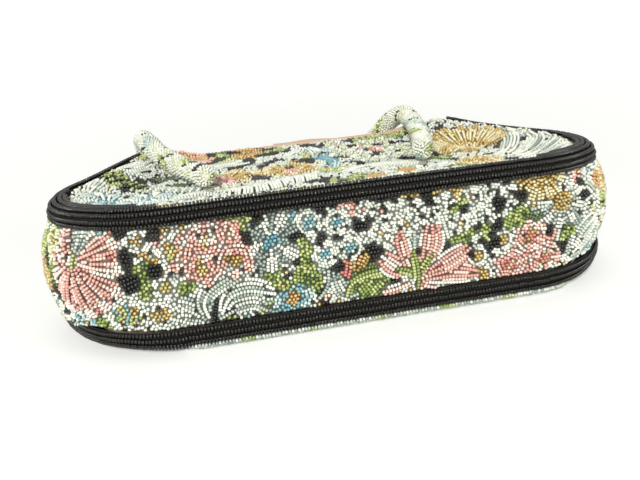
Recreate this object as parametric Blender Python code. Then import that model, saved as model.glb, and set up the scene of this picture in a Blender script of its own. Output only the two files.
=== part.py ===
"""A beaded handbag lying on its back panel, zip open, with both rope handles flopped past the mouth.

Metres, +Z up. X runs along the base, Y from the base to the mouth, Z through the bag from back to front.
The origin is the centre of the flat face that the bag lies on.
"""

import math

import bmesh
import bpy
from mathutils import Vector
from mathutils.bvhtree import BVHTree

# Outline of the bag, seen square to its panels
BAG_LENGTH = 0.260
BAG_HEIGHT = 0.134
BASE_CORNER_RADIUS = 0.050
MOUTH_LENGTH = 0.172

# Heights of the trimmed edges above the rest face
FRONT_EDGE_AT_BASE = 0.0640
FRONT_EDGE_AT_MOUTH = 0.0608
FRONT_EDGE_DIP = 0.0020
BACK_EDGE_AT_BASE = 0.0055
BACK_EDGE_AT_MOUTH = 0.0120

# Clearance between pieces that touch
GAP = 0.0003

# Cloth, board and lining
BEAD_RELIEF_DROP = 0.0008
BEADED_CLOTH = 0.0024
STIFFENER = 0.0012
LINING = 0.0008
HEM_WIDTH = 0.0024
HEM_PROUD = 0.0004

# Soft shape of the panels
FRONT_SAG = 0.0056
FRONT_SAG_RUN = 0.024
FRONT_MOUTH_SAG = 0.0042
FRONT_MOUTH_RUN = 0.040
BACK_BULGE_RUN = 0.020

# Black bead trim, a rounded L round the edge of a panel
TRIM_ON_PANEL = 0.0080
TRIM_ON_GUSSET = 0.0070
TRIM_THICKNESS = 0.0028
TRIM_CORNER_RADIUS = 0.0040
TRIM_INNER_CHAMFER = 0.0012
TRIM_END_RADIUS = 0.0032

# Rope handles
HANDLE_RADIUS = 0.0055
HANDLE_CORD_RADIUS = 0.0036
HANDLE_SPREAD = 0.104
HANDLE_FROM_BASE = 0.053
FRONT_HANDLE_OFFSET = -0.005
HANDLE_END_SETBACK = 0.0010
SHANK_RADIUS = 0.0044
SHANK_HEIGHT = 0.0006
CHANNEL_FLAT = 0.0070
CHANNEL_SLOPE = 0.0100
CHANNEL_LEAD = 0.0100
BACK_HANDLE_REACH = 0.1045

# Zip
ZIP_RECESS = 0.0070
ZIP_LENGTH = 0.136
TAPE_THICKNESS = 0.0008
TOOTH_PITCH = 0.0025
TOOTH_WIDTH = 0.0013
TOOTH_HEIGHT = 0.0024
TEETH_SLOT = 0.0046
TOOTH_LENGTH = 0.0012
TEETH_SPINE = 0.0013
STOP_LENGTH = 0.0020
SLIDER_LENGTH = 0.0090
SLIDER_WIDTH = 0.0128
SLIDER_PLATE = 0.0010
SLIDER_LIP = 0.0008
SLIDER_POST = 0.0030
SLIDER_CLEARANCE = 0.0004
SLIDER_FROM_END = 0.0120
BAIL_WIDTH = 0.0016
BAIL_BAR = 0.0009
BAIL_WINDOW_LENGTH = 0.0044
BAIL_WINDOW_HEIGHT = 0.0024
PULL_THICKNESS = 0.0011
PULL_EYE_WIDTH = 0.0024
PULL_EYE_LENGTH = 0.0040
PULL_RIM = 0.0010
PULL_TAB_WIDTH = 0.0068
PULL_TAB_LENGTH = 0.0130
PULL_SHOULDER = 0.0025

# Inner pocket
POCKET_WIDTH = 0.062
POCKET_DEPTH = 0.060
POCKET_CLOTH = 0.0008
POCKET_MIDDLE_Y = 0.003

# Counts of stations, rows and sides
ARC_STEPS = 7
SIDE_STEPS = 7
BASE_STEPS = 8
PANEL_ROWS = 5
CORNER_FACETS = 4
HANDLE_SIDES = 10
CORD_SIDES = 8
HANDLE_STATIONS = 40
LEG_STEPS = 6
BOW_STEPS = 10
ROUND_SIDES = 12

# Places across a front panel, as shares of its half length, and the outer places across the back panel
FRONT_COLUMN_SHARES = (0.0, 0.14, 0.28, 0.42, 0.56, 0.70, 0.82, 0.92, 1.0)
BACK_OUTER_SHARES = (0.25, 0.5, 0.75, 1.0)

# Route of the front handle between its two sewn ends, past the mouth and over the back handle
FRONT_HANDLE_ROUTE = (
    (-0.0635, 0.0040, 0.0616),
    (-0.0700, 0.0200, 0.0620),
    (-0.0756, 0.0340, 0.0634),
    (-0.0800, 0.0470, 0.0656),
    (-0.0828, 0.0580, 0.0671),
    (-0.0846, 0.0670, 0.0672),
    (-0.0850, 0.0750, 0.0640),
    (-0.0842, 0.0830, 0.0570),
    (-0.0815, 0.0920, 0.0480),
    (-0.0740, 0.1060, 0.0360),
    (-0.0620, 0.1190, 0.0270),
    (-0.0460, 0.1280, 0.0220),
    (-0.0270, 0.1320, 0.0205),
    (-0.0060, 0.1310, 0.0205),
    (0.0140, 0.1250, 0.0220),
    (0.0310, 0.1140, 0.0275),
    (0.0440, 0.1010, 0.0380),
    (0.0530, 0.0900, 0.0490),
    (0.0590, 0.0820, 0.0580),
    (0.0628, 0.0740, 0.0632),
    (0.0645, 0.0650, 0.0648),
    (0.0642, 0.0560, 0.0638),
    (0.0625, 0.0440, 0.0630),
    (0.0590, 0.0260, 0.0618),
    (0.0535, 0.0060, 0.0616),
)

# Lines and heights worked out from the sizes above
BASE_Y = -BAG_HEIGHT / 2
MOUTH_Y = BAG_HEIGHT / 2
PANEL_MOUTH_Y = MOUTH_Y - HEM_WIDTH - GAP
CORNER_X = BAG_LENGTH / 2 - BASE_CORNER_RADIUS
CORNER_Y = BASE_Y + BASE_CORNER_RADIUS
PANEL_INSET = TRIM_ON_PANEL + GAP
STIFFENER_DROP = BEADED_CLOTH + GAP
LINING_DROP = STIFFENER_DROP + STIFFENER + GAP
INNER_DROP = LINING_DROP + LINING
HANDLE_Y = BASE_Y + HANDLE_FROM_BASE
HANDLE_END_SWEEP = math.hypot(HANDLE_RADIUS, HANDLE_END_SETBACK)
HANDLE_STANDOFF = GAP + SHANK_HEIGHT + GAP + HANDLE_END_SWEEP
CHANNEL_HEIGHT = HANDLE_STANDOFF + HANDLE_RADIUS + GAP
ZIP_Y = MOUTH_Y - ZIP_RECESS
SLIDER_REST_X = ZIP_LENGTH / 2 - SLIDER_FROM_END


def clear_scene():
    """Removes whatever the file holds."""
    for old in list(bpy.data.objects):
        bpy.data.objects.remove(old, do_unlink=True)


def finish_material(name, rgb, roughness, metallic=0.0):
    """A plain finish for one kind of material."""
    made = bpy.data.materials.new(name)
    made.use_nodes = True
    shader = made.node_tree.nodes["Principled BSDF"]
    shader.inputs["Base Color"].default_value = (*rgb, 1.0)
    shader.inputs["Roughness"].default_value = roughness
    shader.inputs["Metallic"].default_value = metallic
    return made


def make_object(name, work, material, smooth=True):
    """Turns a bmesh into a named object with its faces pointing out."""
    bmesh.ops.recalc_face_normals(work, faces=work.faces)
    mesh = bpy.data.meshes.new(name)
    work.to_mesh(mesh)
    work.free()
    mesh.materials.append(material)
    if smooth:
        mesh.shade_smooth()
        mesh.set_sharp_from_angle(angle=math.radians(35.0))
    made = bpy.data.objects.new(name, mesh)
    bpy.context.scene.collection.objects.link(made)
    return made


def smooth_step(value):
    """0 below 0, 1 above 1, and a soft rise between."""
    held = min(max(value, 0.0), 1.0)
    return held * held * (3.0 - 2.0 * held)


def side_angle():
    """Direction, seen from a base corner's centre, in which the straight side leaves the corner arc."""
    across = MOUTH_LENGTH / 2 - CORNER_X
    along = MOUTH_Y - CORNER_Y
    return math.atan2(along, across) - math.acos(BASE_CORNER_RADIUS / math.hypot(across, along))


SIDE_ANGLE = side_angle()
SIDE_NORMAL = Vector((math.cos(SIDE_ANGLE), math.sin(SIDE_ANGLE)))
SIDE_START = Vector((CORNER_X, CORNER_Y)) + SIDE_NORMAL * BASE_CORNER_RADIUS
SIDE_END = Vector((MOUTH_LENGTH / 2, MOUTH_Y))
SIDE_LENGTH = (SIDE_END - SIDE_START).length
SIDE_ALONG = (SIDE_END - SIDE_START).normalized()


def arc_corners(inset):
    """Corners of the faceted base corner, drawn in by an inset, from the base to the straight side."""
    corners = []
    for step in range(ARC_STEPS):
        angle = -math.pi / 2 + (SIDE_ANGLE + math.pi / 2) * step / (ARC_STEPS - 1)
        normal = Vector((math.cos(angle), math.sin(angle)))
        corners.append(Vector((CORNER_X, CORNER_Y)) + normal * (BASE_CORNER_RADIUS - inset))
    return corners


def half_length(y, inset):
    """Half length of the faceted outline at a height above the base, drawn in by an inset."""
    corners = arc_corners(inset)
    for first, second in zip(corners, corners[1:]):
        if y <= second.y:
            share = max(y - first.y, 0.0) / (second.y - first.y)
            return first.x + (second.x - first.x) * share
    start = corners[-1]
    return start.x + (y - start.y) * SIDE_ALONG.x / SIDE_ALONG.y


def edge_distance(x, y):
    """How far a point lies inside the base and sides of the outline."""
    spot = Vector((abs(x), y))
    from_corner = spot - Vector((CORNER_X, CORNER_Y))
    in_corner = from_corner.x > 0.0 and math.atan2(from_corner.y, from_corner.x) < SIDE_ANGLE
    if in_corner:
        return BASE_CORNER_RADIUS - from_corner.length
    return min(y - BASE_Y, (SIDE_END - spot).dot(SIDE_NORMAL))


def up_the_bag(y):
    """0 at the base and 1 at the mouth."""
    return (y - BASE_Y) / BAG_HEIGHT


def front_edge(y):
    """Height of the front trim's top, which dips a little halfway up the bag."""
    share = up_the_bag(y)
    dip = FRONT_EDGE_DIP * 4.0 * share * (1.0 - share)
    return FRONT_EDGE_AT_BASE + (FRONT_EDGE_AT_MOUTH - FRONT_EDGE_AT_BASE) * share - dip


def back_edge(y):
    """Height of the back trim's underside."""
    return BACK_EDGE_AT_BASE + (BACK_EDGE_AT_MOUTH - BACK_EDGE_AT_BASE) * up_the_bag(y)


def front_face(x, y):
    """Outer face of the front panel, which sags between its trimmed edges."""
    inside = smooth_step((edge_distance(x, y) - PANEL_INSET) / FRONT_SAG_RUN)
    from_mouth = smooth_step((MOUTH_Y - y) / FRONT_MOUTH_RUN)
    sag = FRONT_MOUTH_SAG + (FRONT_SAG - FRONT_MOUTH_SAG) * from_mouth
    return front_edge(y) - BEAD_RELIEF_DROP - sag * inside


def back_face(x, y):
    """Outer face of the back panel: flat where it rests, and pushed in over the legs of the back handle."""
    inward = min(edge_distance(x, y) - PANEL_INSET, PANEL_MOUTH_Y - y)
    rim = back_edge(y) + BEAD_RELIEF_DROP
    bulged = rim * (1.0 - smooth_step(inward / BACK_BULGE_RUN))
    beside = abs(abs(x) - HANDLE_SPREAD / 2)
    across = min(max((CHANNEL_FLAT + CHANNEL_SLOPE - beside) / CHANNEL_SLOPE, 0.0), 1.0)
    before = HANDLE_Y - CHANNEL_FLAT - CHANNEL_LEAD
    along = min(max((y - before) / CHANNEL_LEAD, 0.0), 1.0)
    return max(bulged, CHANNEL_HEIGHT * across * along)


def panel_rows():
    """Heights of the rows of a panel: round the base corners, then up the straight sides."""
    rows = [corner.y for corner in arc_corners(PANEL_INSET)]
    last = rows[-1]
    for step in range(1, PANEL_ROWS + 1):
        rows.append(last + (PANEL_MOUTH_Y - last) * step / PANEL_ROWS)
    lead = [HANDLE_Y - CHANNEL_FLAT - CHANNEL_LEAD, HANDLE_Y - CHANNEL_FLAT, HANDLE_Y + CHANNEL_FLAT]
    clear = [y for y in rows if min(abs(y - kept) for kept in lead) > CHANNEL_FLAT / 2]
    return sorted(clear + lead)


def front_columns(y):
    """Places across the front panel at one row."""
    reach = half_length(y, PANEL_INSET)
    right = [reach * share for share in FRONT_COLUMN_SHARES]
    return [-x for x in reversed(right[1:])] + right


def back_columns(y):
    """Places across the back panel at one row, with lines at the foot and top of each handle channel."""
    reach = half_length(y, PANEL_INSET)
    leg = HANDLE_SPREAD / 2
    foot = leg - CHANNEL_FLAT - CHANNEL_SLOPE
    right = [0.0, foot / 2, foot, leg - CHANNEL_FLAT, leg + CHANNEL_FLAT]
    start = right[-1]
    right += [start + (reach - start) * share for share in BACK_OUTER_SHARES]
    return [-x for x in reversed(right[1:])] + right


def panel_layer(name, columns, low, high, material):
    """A closed sheet over the panel's grid, between two height functions."""
    work = bmesh.new()
    layers = []
    for height in (low, high):
        rows = []
        for y in panel_rows():
            rows.append([work.verts.new((x, y, height(x, y))) for x in columns(y)])
        layers.append(rows)
    for rows in layers:
        for first, second in zip(rows, rows[1:]):
            for a, b, c, d in zip(first, first[1:], second[1:], second):
                work.faces.new((a, b, c))
                work.faces.new((a, c, d))
    rims = []
    for rows in layers:
        right = [row[-1] for row in rows[1:-1]]
        left = [row[0] for row in rows[-2:0:-1]]
        rims.append(rows[0] + right + rows[-1][::-1] + left)
    bottom, top = rims
    for index, corner in enumerate(bottom):
        after = (index + 1) % len(bottom)
        work.faces.new((corner, bottom[after], top[after], top[index]))
    return make_object(name, work, material)


def mirrored(spot, normal):
    """A point of the outline and its normal, on the other side of the bag."""
    return Vector((-spot.x, spot.y)), Vector((-normal.x, normal.y))


def front_layer(name, outer, inner, material):
    """A layer of the front panel, between two depths under its outer face."""
    def low(x, y):
        return front_face(x, y) - inner

    def high(x, y):
        return front_face(x, y) - outer

    return panel_layer(name, front_columns, low, high, material)


def back_layer(name, outer, inner, material):
    """A layer of the back panel, between two depths under its outer face."""
    def low(x, y):
        return back_face(x, y) + outer

    def high(x, y):
        return back_face(x, y) + inner

    return panel_layer(name, back_columns, low, high, material)


def outline_stations(mouth_setback):
    """Points and outward normals of the outline, from the left of the mouth round the base to the right."""
    right = []
    for step in range(1, BASE_STEPS // 2 + 1):
        right.append((Vector((CORNER_X * 2 * step / BASE_STEPS, BASE_Y)), Vector((0.0, -1.0))))
    for step in range(1, ARC_STEPS):
        angle = -math.pi / 2 + (SIDE_ANGLE + math.pi / 2) * step / (ARC_STEPS - 1)
        normal = Vector((math.cos(angle), math.sin(angle)))
        right.append((Vector((CORNER_X, CORNER_Y)) + normal * BASE_CORNER_RADIUS, normal))
    for step in range(1, SIDE_STEPS + 1):
        run = (SIDE_LENGTH - mouth_setback) * step / SIDE_STEPS
        right.append((SIDE_START + SIDE_ALONG * run, SIDE_NORMAL))
    left = [mirrored(spot, normal) for spot, normal in reversed(right)]
    return left + [(Vector((0.0, BASE_Y)), Vector((0.0, -1.0)))] + right


def sweep_section(name, stations, section, material):
    """Sweeps a closed section, given as (inset, height) pairs for each station, along the outline."""
    work = bmesh.new()
    rings = []
    for spot, normal in stations:
        ring = []
        for inset, height in section(spot):
            place = spot - normal * inset
            ring.append(work.verts.new((place.x, place.y, height)))
        rings.append(ring)
    join_rings(work, rings)
    return make_object(name, work, material)


def join_rings(work, rings):
    """Skins a row of rings and closes both ends."""
    for first, second in zip(rings, rings[1:]):
        for index, corner in enumerate(first):
            after = (index + 1) % len(first)
            work.faces.new((corner, first[after], second[after], second[index]))
    work.faces.new(rings[0][::-1])
    work.faces.new(rings[-1])


def band_section(outer, inner, setback):
    """Section of a flat strip of the gusset, between the two trims."""
    def section(spot):
        low = back_edge(spot.y) + setback
        high = front_edge(spot.y) - setback
        return [(outer, low), (inner, low), (inner, high), (outer, high)]
    return section


def trim_profile():
    """The trim's section as (inset from the side, depth below the edge) pairs."""
    profile = []
    for step in range(CORNER_FACETS + 1):
        angle = math.pi / 2 * step / CORNER_FACETS
        inset = TRIM_CORNER_RADIUS * (1.0 - math.cos(angle))
        depth = TRIM_CORNER_RADIUS * (1.0 - math.sin(angle))
        profile.append((inset, depth))
    profile.append((TRIM_ON_PANEL, 0.0))
    profile.append((TRIM_ON_PANEL, TRIM_THICKNESS))
    profile.append((TRIM_THICKNESS + TRIM_INNER_CHAMFER, TRIM_THICKNESS))
    profile.append((TRIM_THICKNESS, TRIM_THICKNESS + TRIM_INNER_CHAMFER))
    profile.append((TRIM_THICKNESS, TRIM_ON_GUSSET))
    profile.append((0.0, TRIM_ON_GUSSET))
    return profile


def trim_section(edge, direction):
    """Section of a trim at a station: depths are measured down from the front or up from the back."""
    def section(spot):
        return [(inset, edge(spot.y) + direction * depth) for inset, depth in trim_profile()]
    return section


def trim_end(name, side, edge, direction, material):
    """Beaded knot that finishes a trim at one corner of the mouth."""
    work = bmesh.new()
    middle = SIDE_END - SIDE_ALONG * TRIM_END_RADIUS - SIDE_NORMAL * TRIM_CORNER_RADIUS
    height = edge(middle.y) + direction * TRIM_END_RADIUS
    bmesh.ops.create_icosphere(work, subdivisions=2, radius=TRIM_END_RADIUS)
    bmesh.ops.translate(work, verts=work.verts, vec=(side * middle.x, middle.y, height))
    return make_object(name, work, material)


def side_hem(name, side, material):
    """Satin binding over the top of one side of the gusset."""
    start = SIDE_LENGTH - HEM_WIDTH
    stations = [(SIDE_START + SIDE_ALONG * start, SIDE_NORMAL), (SIDE_END, SIDE_NORMAL)]
    if side < 0:
        stations = [mirrored(spot, normal) for spot, normal in stations]
    outer = BEAD_RELIEF_DROP - HEM_PROUD
    inner = BEAD_RELIEF_DROP + INNER_DROP + HEM_PROUD
    setback = TRIM_ON_GUSSET + GAP
    return sweep_section(name, stations, band_section(outer, inner, setback), material)


def mouth_hem(name, columns, face, outward, material):
    """Satin binding over the mouth edge of a panel. It follows the panel's own curve."""
    work = bmesh.new()
    rings = []
    for x in columns(PANEL_MOUTH_Y):
        outer = face(x, PANEL_MOUTH_Y) + outward * HEM_PROUD
        inner = face(x, PANEL_MOUTH_Y) - outward * (INNER_DROP + HEM_PROUD)
        near = MOUTH_Y - HEM_WIDTH
        corners = ((near, outer), (MOUTH_Y, outer), (MOUTH_Y, inner), (near, inner))
        rings.append([work.verts.new((x, y, z)) for y, z in corners])
    join_rings(work, rings)
    return make_object(name, work, material)


def box(work, low, high):
    """Adds a box between two corners."""
    made = bmesh.ops.create_cube(work, size=1.0)
    size = Vector(high) - Vector(low)
    middle = (Vector(high) + Vector(low)) / 2
    bmesh.ops.scale(work, verts=made["verts"], vec=size)
    bmesh.ops.translate(work, verts=made["verts"], vec=middle)


def extrude_outline(work, corners, along):
    """Adds a solid made by drawing a flat outline along a vector."""
    face = work.faces.new([work.verts.new(corner) for corner in corners])
    made = bmesh.ops.extrude_face_region(work, geom=[face])
    moved = [item for item in made["geom"] if isinstance(item, bmesh.types.BMVert)]
    bmesh.ops.translate(work, verts=moved, vec=along)


def zip_limits():
    """Inner faces of the front and back linings at the zip, and the line midway between them."""
    places = [x for x in back_columns(PANEL_MOUTH_Y) if abs(x) <= ZIP_LENGTH / 2]
    depths = (ZIP_Y - TAPE_THICKNESS, ZIP_Y + TAPE_THICKNESS, PANEL_MOUTH_Y)
    front = min(front_face(x, y) for x in places for y in depths) - INNER_DROP
    back = max(back_face(x, y) for x in places for y in depths) + INNER_DROP
    return front, back, (front + back) / 2


ZIP_FRONT, ZIP_BACK, ZIP_MIDDLE = zip_limits()
TEETH_OUTER = TEETH_SLOT / 2 + TOOTH_LENGTH + TEETH_SPINE
SLIDER_PLATE_Y = TOOTH_HEIGHT / 2 + SLIDER_CLEARANCE
SLIDER_TOP_Y = ZIP_Y + SLIDER_PLATE_Y + SLIDER_PLATE
BAIL_FOOT_Y = SLIDER_TOP_Y + GAP
PULL_Y = BAIL_FOOT_Y + BAIL_WINDOW_HEIGHT / 2


def zip_tape(name, side, limit, material):
    """One woven tape, from the lining to the cord that carries the teeth."""
    work = bmesh.new()
    near = ZIP_MIDDLE + side * (TEETH_OUTER + GAP)
    far = limit - side * GAP
    low = (-ZIP_LENGTH / 2, ZIP_Y - TAPE_THICKNESS / 2, min(near, far))
    high = (ZIP_LENGTH / 2, ZIP_Y + TAPE_THICKNESS / 2, max(near, far))
    box(work, low, high)
    return make_object(name, work, material, smooth=False)


def teeth_run():
    """First and last ends of the rows of teeth, which stop short of the end stops."""
    reach = ZIP_LENGTH / 2 - STOP_LENGTH * 2
    count = int(2 * reach / TOOTH_PITCH)
    return -count * TOOTH_PITCH / 2, count


def zip_teeth(name, side, material):
    """A row of teeth standing on their cord, as one comb."""
    start, count = teeth_run()
    root = ZIP_MIDDLE + side * (TEETH_SLOT / 2 + TOOTH_LENGTH)
    tip = ZIP_MIDDLE + side * TEETH_SLOT / 2
    back = ZIP_MIDDLE + side * TEETH_OUTER
    shift = TOOTH_PITCH / 4 * side
    outline = [(start, root)]
    for index in range(count):
        middle = start + (index + 0.5) * TOOTH_PITCH + shift
        before, after = middle - TOOTH_WIDTH / 2, middle + TOOTH_WIDTH / 2
        outline += [(before, root), (before, tip), (after, tip), (after, root)]
    end = start + count * TOOTH_PITCH
    outline += [(end, root), (end, back), (start, back)]
    work = bmesh.new()
    low = ZIP_Y - TOOTH_HEIGHT / 2
    extrude_outline(work, [(x, low, z) for x, z in outline], (0.0, TOOTH_HEIGHT, 0.0))
    return make_object(name, work, material, smooth=False)


def zip_stop(name, side, low_z, high_z, material):
    """A stop clamped beyond the last tooth, at one end of the zip."""
    start, _ = teeth_run()
    near, far = side * (GAP - start), side * (GAP - start + STOP_LENGTH)
    work = bmesh.new()
    low = (min(near, far), ZIP_Y - TOOTH_HEIGHT / 2, low_z)
    high = (max(near, far), ZIP_Y + TOOTH_HEIGHT / 2, high_z)
    box(work, low, high)
    return make_object(name, work, material, smooth=False)


def zip_slider(material):
    """Slider body: two plates joined by a post between the rows, with lips that close over the tapes."""
    wide, lip = SLIDER_WIDTH / 2, SLIDER_WIDTH / 2 - SLIDER_LIP
    post = SLIDER_POST / 2
    inner, outer = SLIDER_PLATE_Y, SLIDER_PLATE_Y + SLIDER_PLATE
    mouth = TAPE_THICKNESS / 2 + SLIDER_CLEARANCE
    quarter = [(post, inner), (lip, inner), (lip, mouth), (wide, mouth), (wide, outer)]
    outline = [(z, y) for z, y in quarter]
    outline += [(-z, y) for z, y in reversed(quarter)]
    outline += [(-z, -y) for z, y in quarter]
    outline += [(z, -y) for z, y in reversed(quarter)]
    work = bmesh.new()
    near = SLIDER_REST_X - SLIDER_LENGTH / 2
    corners = [(near, ZIP_Y + y, ZIP_MIDDLE + z) for z, y in outline]
    extrude_outline(work, corners, (SLIDER_LENGTH, 0.0, 0.0))
    return make_object("zip_slider", work, material, smooth=False)


def zip_bail(material):
    """Arch on the slider that holds the pull."""
    inner = BAIL_WINDOW_LENGTH / 2
    outer = inner + BAIL_BAR
    low = BAIL_FOOT_Y
    under = low + BAIL_WINDOW_HEIGHT
    top = under + BAIL_BAR
    left_foot = [(-outer, low), (-inner, low), (-inner, under)]
    right_foot = [(inner, under), (inner, low), (outer, low)]
    shape = left_foot + right_foot + [(outer, top), (-outer, top)]
    work = bmesh.new()
    back = ZIP_MIDDLE - BAIL_WIDTH / 2
    extrude_outline(work, [(SLIDER_REST_X + x, y, back) for x, y in shape], (0.0, 0.0, BAIL_WIDTH))
    return make_object("zip_slider_bail", work, material, smooth=False)


def zip_pull(material):
    """Flat pull with an eye round the bail. Its end bar lies in the arch, on the hinge line."""
    bar = PULL_THICKNESS / 2
    eye, rim = PULL_EYE_WIDTH / 2, PULL_EYE_WIDTH / 2 + PULL_RIM
    tab = PULL_TAB_WIDTH / 2
    eye_end = bar + PULL_EYE_LENGTH
    neck = eye_end + PULL_RIM
    shoulder = neck + PULL_SHOULDER
    end = shoulder + PULL_TAB_LENGTH
    work = bmesh.new()
    base = PULL_Y - PULL_THICKNESS / 2

    def corner(run, z):
        return work.verts.new((SLIDER_REST_X - run, base, ZIP_MIDDLE + z))

    grid = [[corner(run, z) for z in (-rim, -eye, eye, rim)] for run in (-bar, bar, eye_end, neck)]
    for row, (near, far) in enumerate(zip(grid, grid[1:])):
        for column, (a, b, c, d) in enumerate(zip(near, near[1:], far[1:], far)):
            if (row, column) != (1, 1):
                work.faces.new((a, b, c, d))
    upper = [(shoulder, tab), (end - tab / 2, tab), (end, tab / 2)]
    lower = [(run, -z) for run, z in reversed(upper)]
    work.faces.new(grid[-1] + [corner(run, z) for run, z in upper + lower])
    made = bmesh.ops.extrude_face_region(work, geom=work.faces[:])
    moved = [item for item in made["geom"] if isinstance(item, bmesh.types.BMVert)]
    bmesh.ops.translate(work, verts=moved, vec=(0.0, PULL_THICKNESS, 0.0))
    return make_object("zip_pull", work, material, smooth=False)


def face_height(obj, x, y, upward):
    """Height of an object's outer face above or below a point, read from its facets."""
    mesh = obj.data
    corners = [vertex.co for vertex in mesh.vertices]
    tree = BVHTree.FromPolygons(corners, [tuple(polygon.vertices) for polygon in mesh.polygons])
    origin = Vector((x, y, BAG_LENGTH if upward else -BAG_LENGTH))
    direction = Vector((0.0, 0.0, -1.0 if upward else 1.0))
    return tree.ray_cast(origin, direction)[0].z


def shank_seat(panel, x, upward):
    """Height at which a handle shank clears the panel under all of its foot."""
    heights = [face_height(panel, x, HANDLE_Y, upward)]
    for step in range(ROUND_SIDES):
        angle = 2 * math.pi * step / ROUND_SIDES
        beside = x + SHANK_RADIUS * math.cos(angle)
        along = HANDLE_Y + SHANK_RADIUS * math.sin(angle)
        heights.append(face_height(panel, beside, along, upward))
    return max(heights) + GAP if upward else min(heights) - GAP


def handle_shank(name, x, seat, outward, material):
    """Wound thread under one sewn end of a handle."""
    work = bmesh.new()
    disc = {"radius1": SHANK_RADIUS, "radius2": SHANK_RADIUS, "depth": SHANK_HEIGHT}
    bmesh.ops.create_cone(work, cap_ends=True, segments=ROUND_SIDES, **disc)
    bmesh.ops.translate(work, verts=work.verts, vec=(x, HANDLE_Y, seat + outward * SHANK_HEIGHT / 2))
    return make_object(name, work, material)


def smooth_route(points, count):
    """Evenly spread points along a smooth curve through the given ones."""
    ends = [points[0] * 2 - points[1]] + points + [points[-1] * 2 - points[-2]]
    fine = []
    steps = 12
    for a, b, c, d in zip(ends, ends[1:], ends[2:], ends[3:]):
        for step in range(steps):
            t = step / steps
            second = (a * 2 - b * 5 + c * 4 - d) * t ** 2
            third = (b * 3 - a - c * 3 + d) * t ** 3
            fine.append(b + ((c - a) * t + second + third) / 2)
    fine.append(points[-1])
    runs = [0.0]
    for first, second in zip(fine, fine[1:]):
        runs.append(runs[-1] + (second - first).length)
    spread = []
    index = 0
    for step in range(count):
        target = runs[-1] * step / (count - 1)
        while index < len(fine) - 2 and runs[index + 1] < target:
            index += 1
        share = (target - runs[index]) / (runs[index + 1] - runs[index])
        spread.append(fine[index].lerp(fine[index + 1], share))
    return spread, runs[-1]


def route_frames(route):
    """A pair of cross directions at each point of a route, turned no more than the route turns."""
    frames = []
    side = None
    for index, spot in enumerate(route):
        ahead = route[min(index + 1, len(route) - 1)] - route[max(index - 1, 0)]
        along = ahead.normalized()
        if side is None:
            side = along.cross(Vector((0.0, 0.0, 1.0))).normalized()
        side = (side - along * side.dot(along)).normalized()
        frames.append((spot, side, along.cross(side)))
    return frames


def route_ring(work, frame, radius, sides):
    """A ring of points round one place of a route."""
    spot, side, up = frame
    ring = []
    for step in range(sides):
        angle = 2 * math.pi * step / sides
        ring.append(work.verts.new(spot + (side * math.cos(angle) + up * math.sin(angle)) * radius))
    return ring


def handle_sleeve(name, route, material):
    """Beaded sleeve of a handle, a soft pipe round its cord."""
    work = bmesh.new()
    frames = route_frames(route)
    outer = [route_ring(work, frame, HANDLE_RADIUS, HANDLE_SIDES) for frame in frames]
    inner = [route_ring(work, frame, HANDLE_CORD_RADIUS + GAP, HANDLE_SIDES) for frame in frames]
    for rings in (outer, inner):
        for first, second in zip(rings, rings[1:]):
            for index, corner in enumerate(first):
                after = (index + 1) % HANDLE_SIDES
                work.faces.new((corner, first[after], second[after], second[index]))
    for end in (0, -1):
        for index, corner in enumerate(outer[end]):
            after = (index + 1) % HANDLE_SIDES
            work.faces.new((corner, outer[end][after], inner[end][after], inner[end][index]))
    return make_object(name, work, material)


def handle_cord(name, route, material):
    """Cotton cord that fills the sleeve."""
    work = bmesh.new()
    rings = [route_ring(work, frame, HANDLE_CORD_RADIUS, CORD_SIDES) for frame in route_frames(route)]
    join_rings(work, rings)
    return make_object(name, work, material)


def set_pivot(obj, pivot):
    """Puts an object's origin on its joint's axis without moving its shape."""
    for vertex in obj.data.vertices:
        vertex.co -= Vector(pivot)
    obj.location = pivot


def front_handle_route(axis_height):
    """Route of the front handle, from sewn end to sewn end."""
    start = HANDLE_Y + HANDLE_END_SETBACK
    left = Vector((FRONT_HANDLE_OFFSET - HANDLE_SPREAD / 2, start, axis_height))
    right = Vector((FRONT_HANDLE_OFFSET + HANDLE_SPREAD / 2, start, axis_height))
    return [left] + [Vector(point) for point in FRONT_HANDLE_ROUTE] + [right]


def back_handle_route(axis_height):
    """Route of the back handle: two straight legs under the panel and a round bow past the mouth."""
    leg = HANDLE_SPREAD / 2
    start = HANDLE_Y + HANDLE_END_SETBACK
    bow = MOUTH_Y + BACK_HANDLE_REACH - leg
    right = []
    for step in range(LEG_STEPS):
        right.append(Vector((leg, start + (bow - start) * step / LEG_STEPS, axis_height)))
    over = []
    for step in range(BOW_STEPS + 1):
        angle = math.pi * step / BOW_STEPS
        over.append(Vector((leg * math.cos(angle), bow + leg * math.sin(angle), axis_height)))
    left = [Vector((-spot.x, spot.y, spot.z)) for spot in reversed(right)]
    return right + over + left


def beaded_shell(finishes):
    """The beaded front, back and gusset, with the black trims round their edges."""
    beads, black = finishes["beaded_cloth"], finishes["black_beads"]
    front = front_layer("front_panel", 0.0, BEADED_CLOTH, beads)
    back = back_layer("back_panel", 0.0, BEADED_CLOTH, beads)
    outer = BEAD_RELIEF_DROP
    setback = TRIM_ON_GUSSET + GAP
    band = outline_stations(HEM_WIDTH + GAP)
    sweep_section("gusset_band", band, band_section(outer, outer + BEADED_CLOTH, setback), beads)
    trimmed = outline_stations(2 * TRIM_END_RADIUS + GAP)
    sweep_section("front_trim", trimmed, trim_section(front_edge, -1), black)
    sweep_section("back_trim", trimmed, trim_section(back_edge, 1), black)
    for side_name, side in (("left", -1), ("right", 1)):
        trim_end(f"front_trim_{side_name}_end", side, front_edge, -1, black)
        trim_end(f"back_trim_{side_name}_end", side, back_edge, 1, black)
    return front, back


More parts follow.
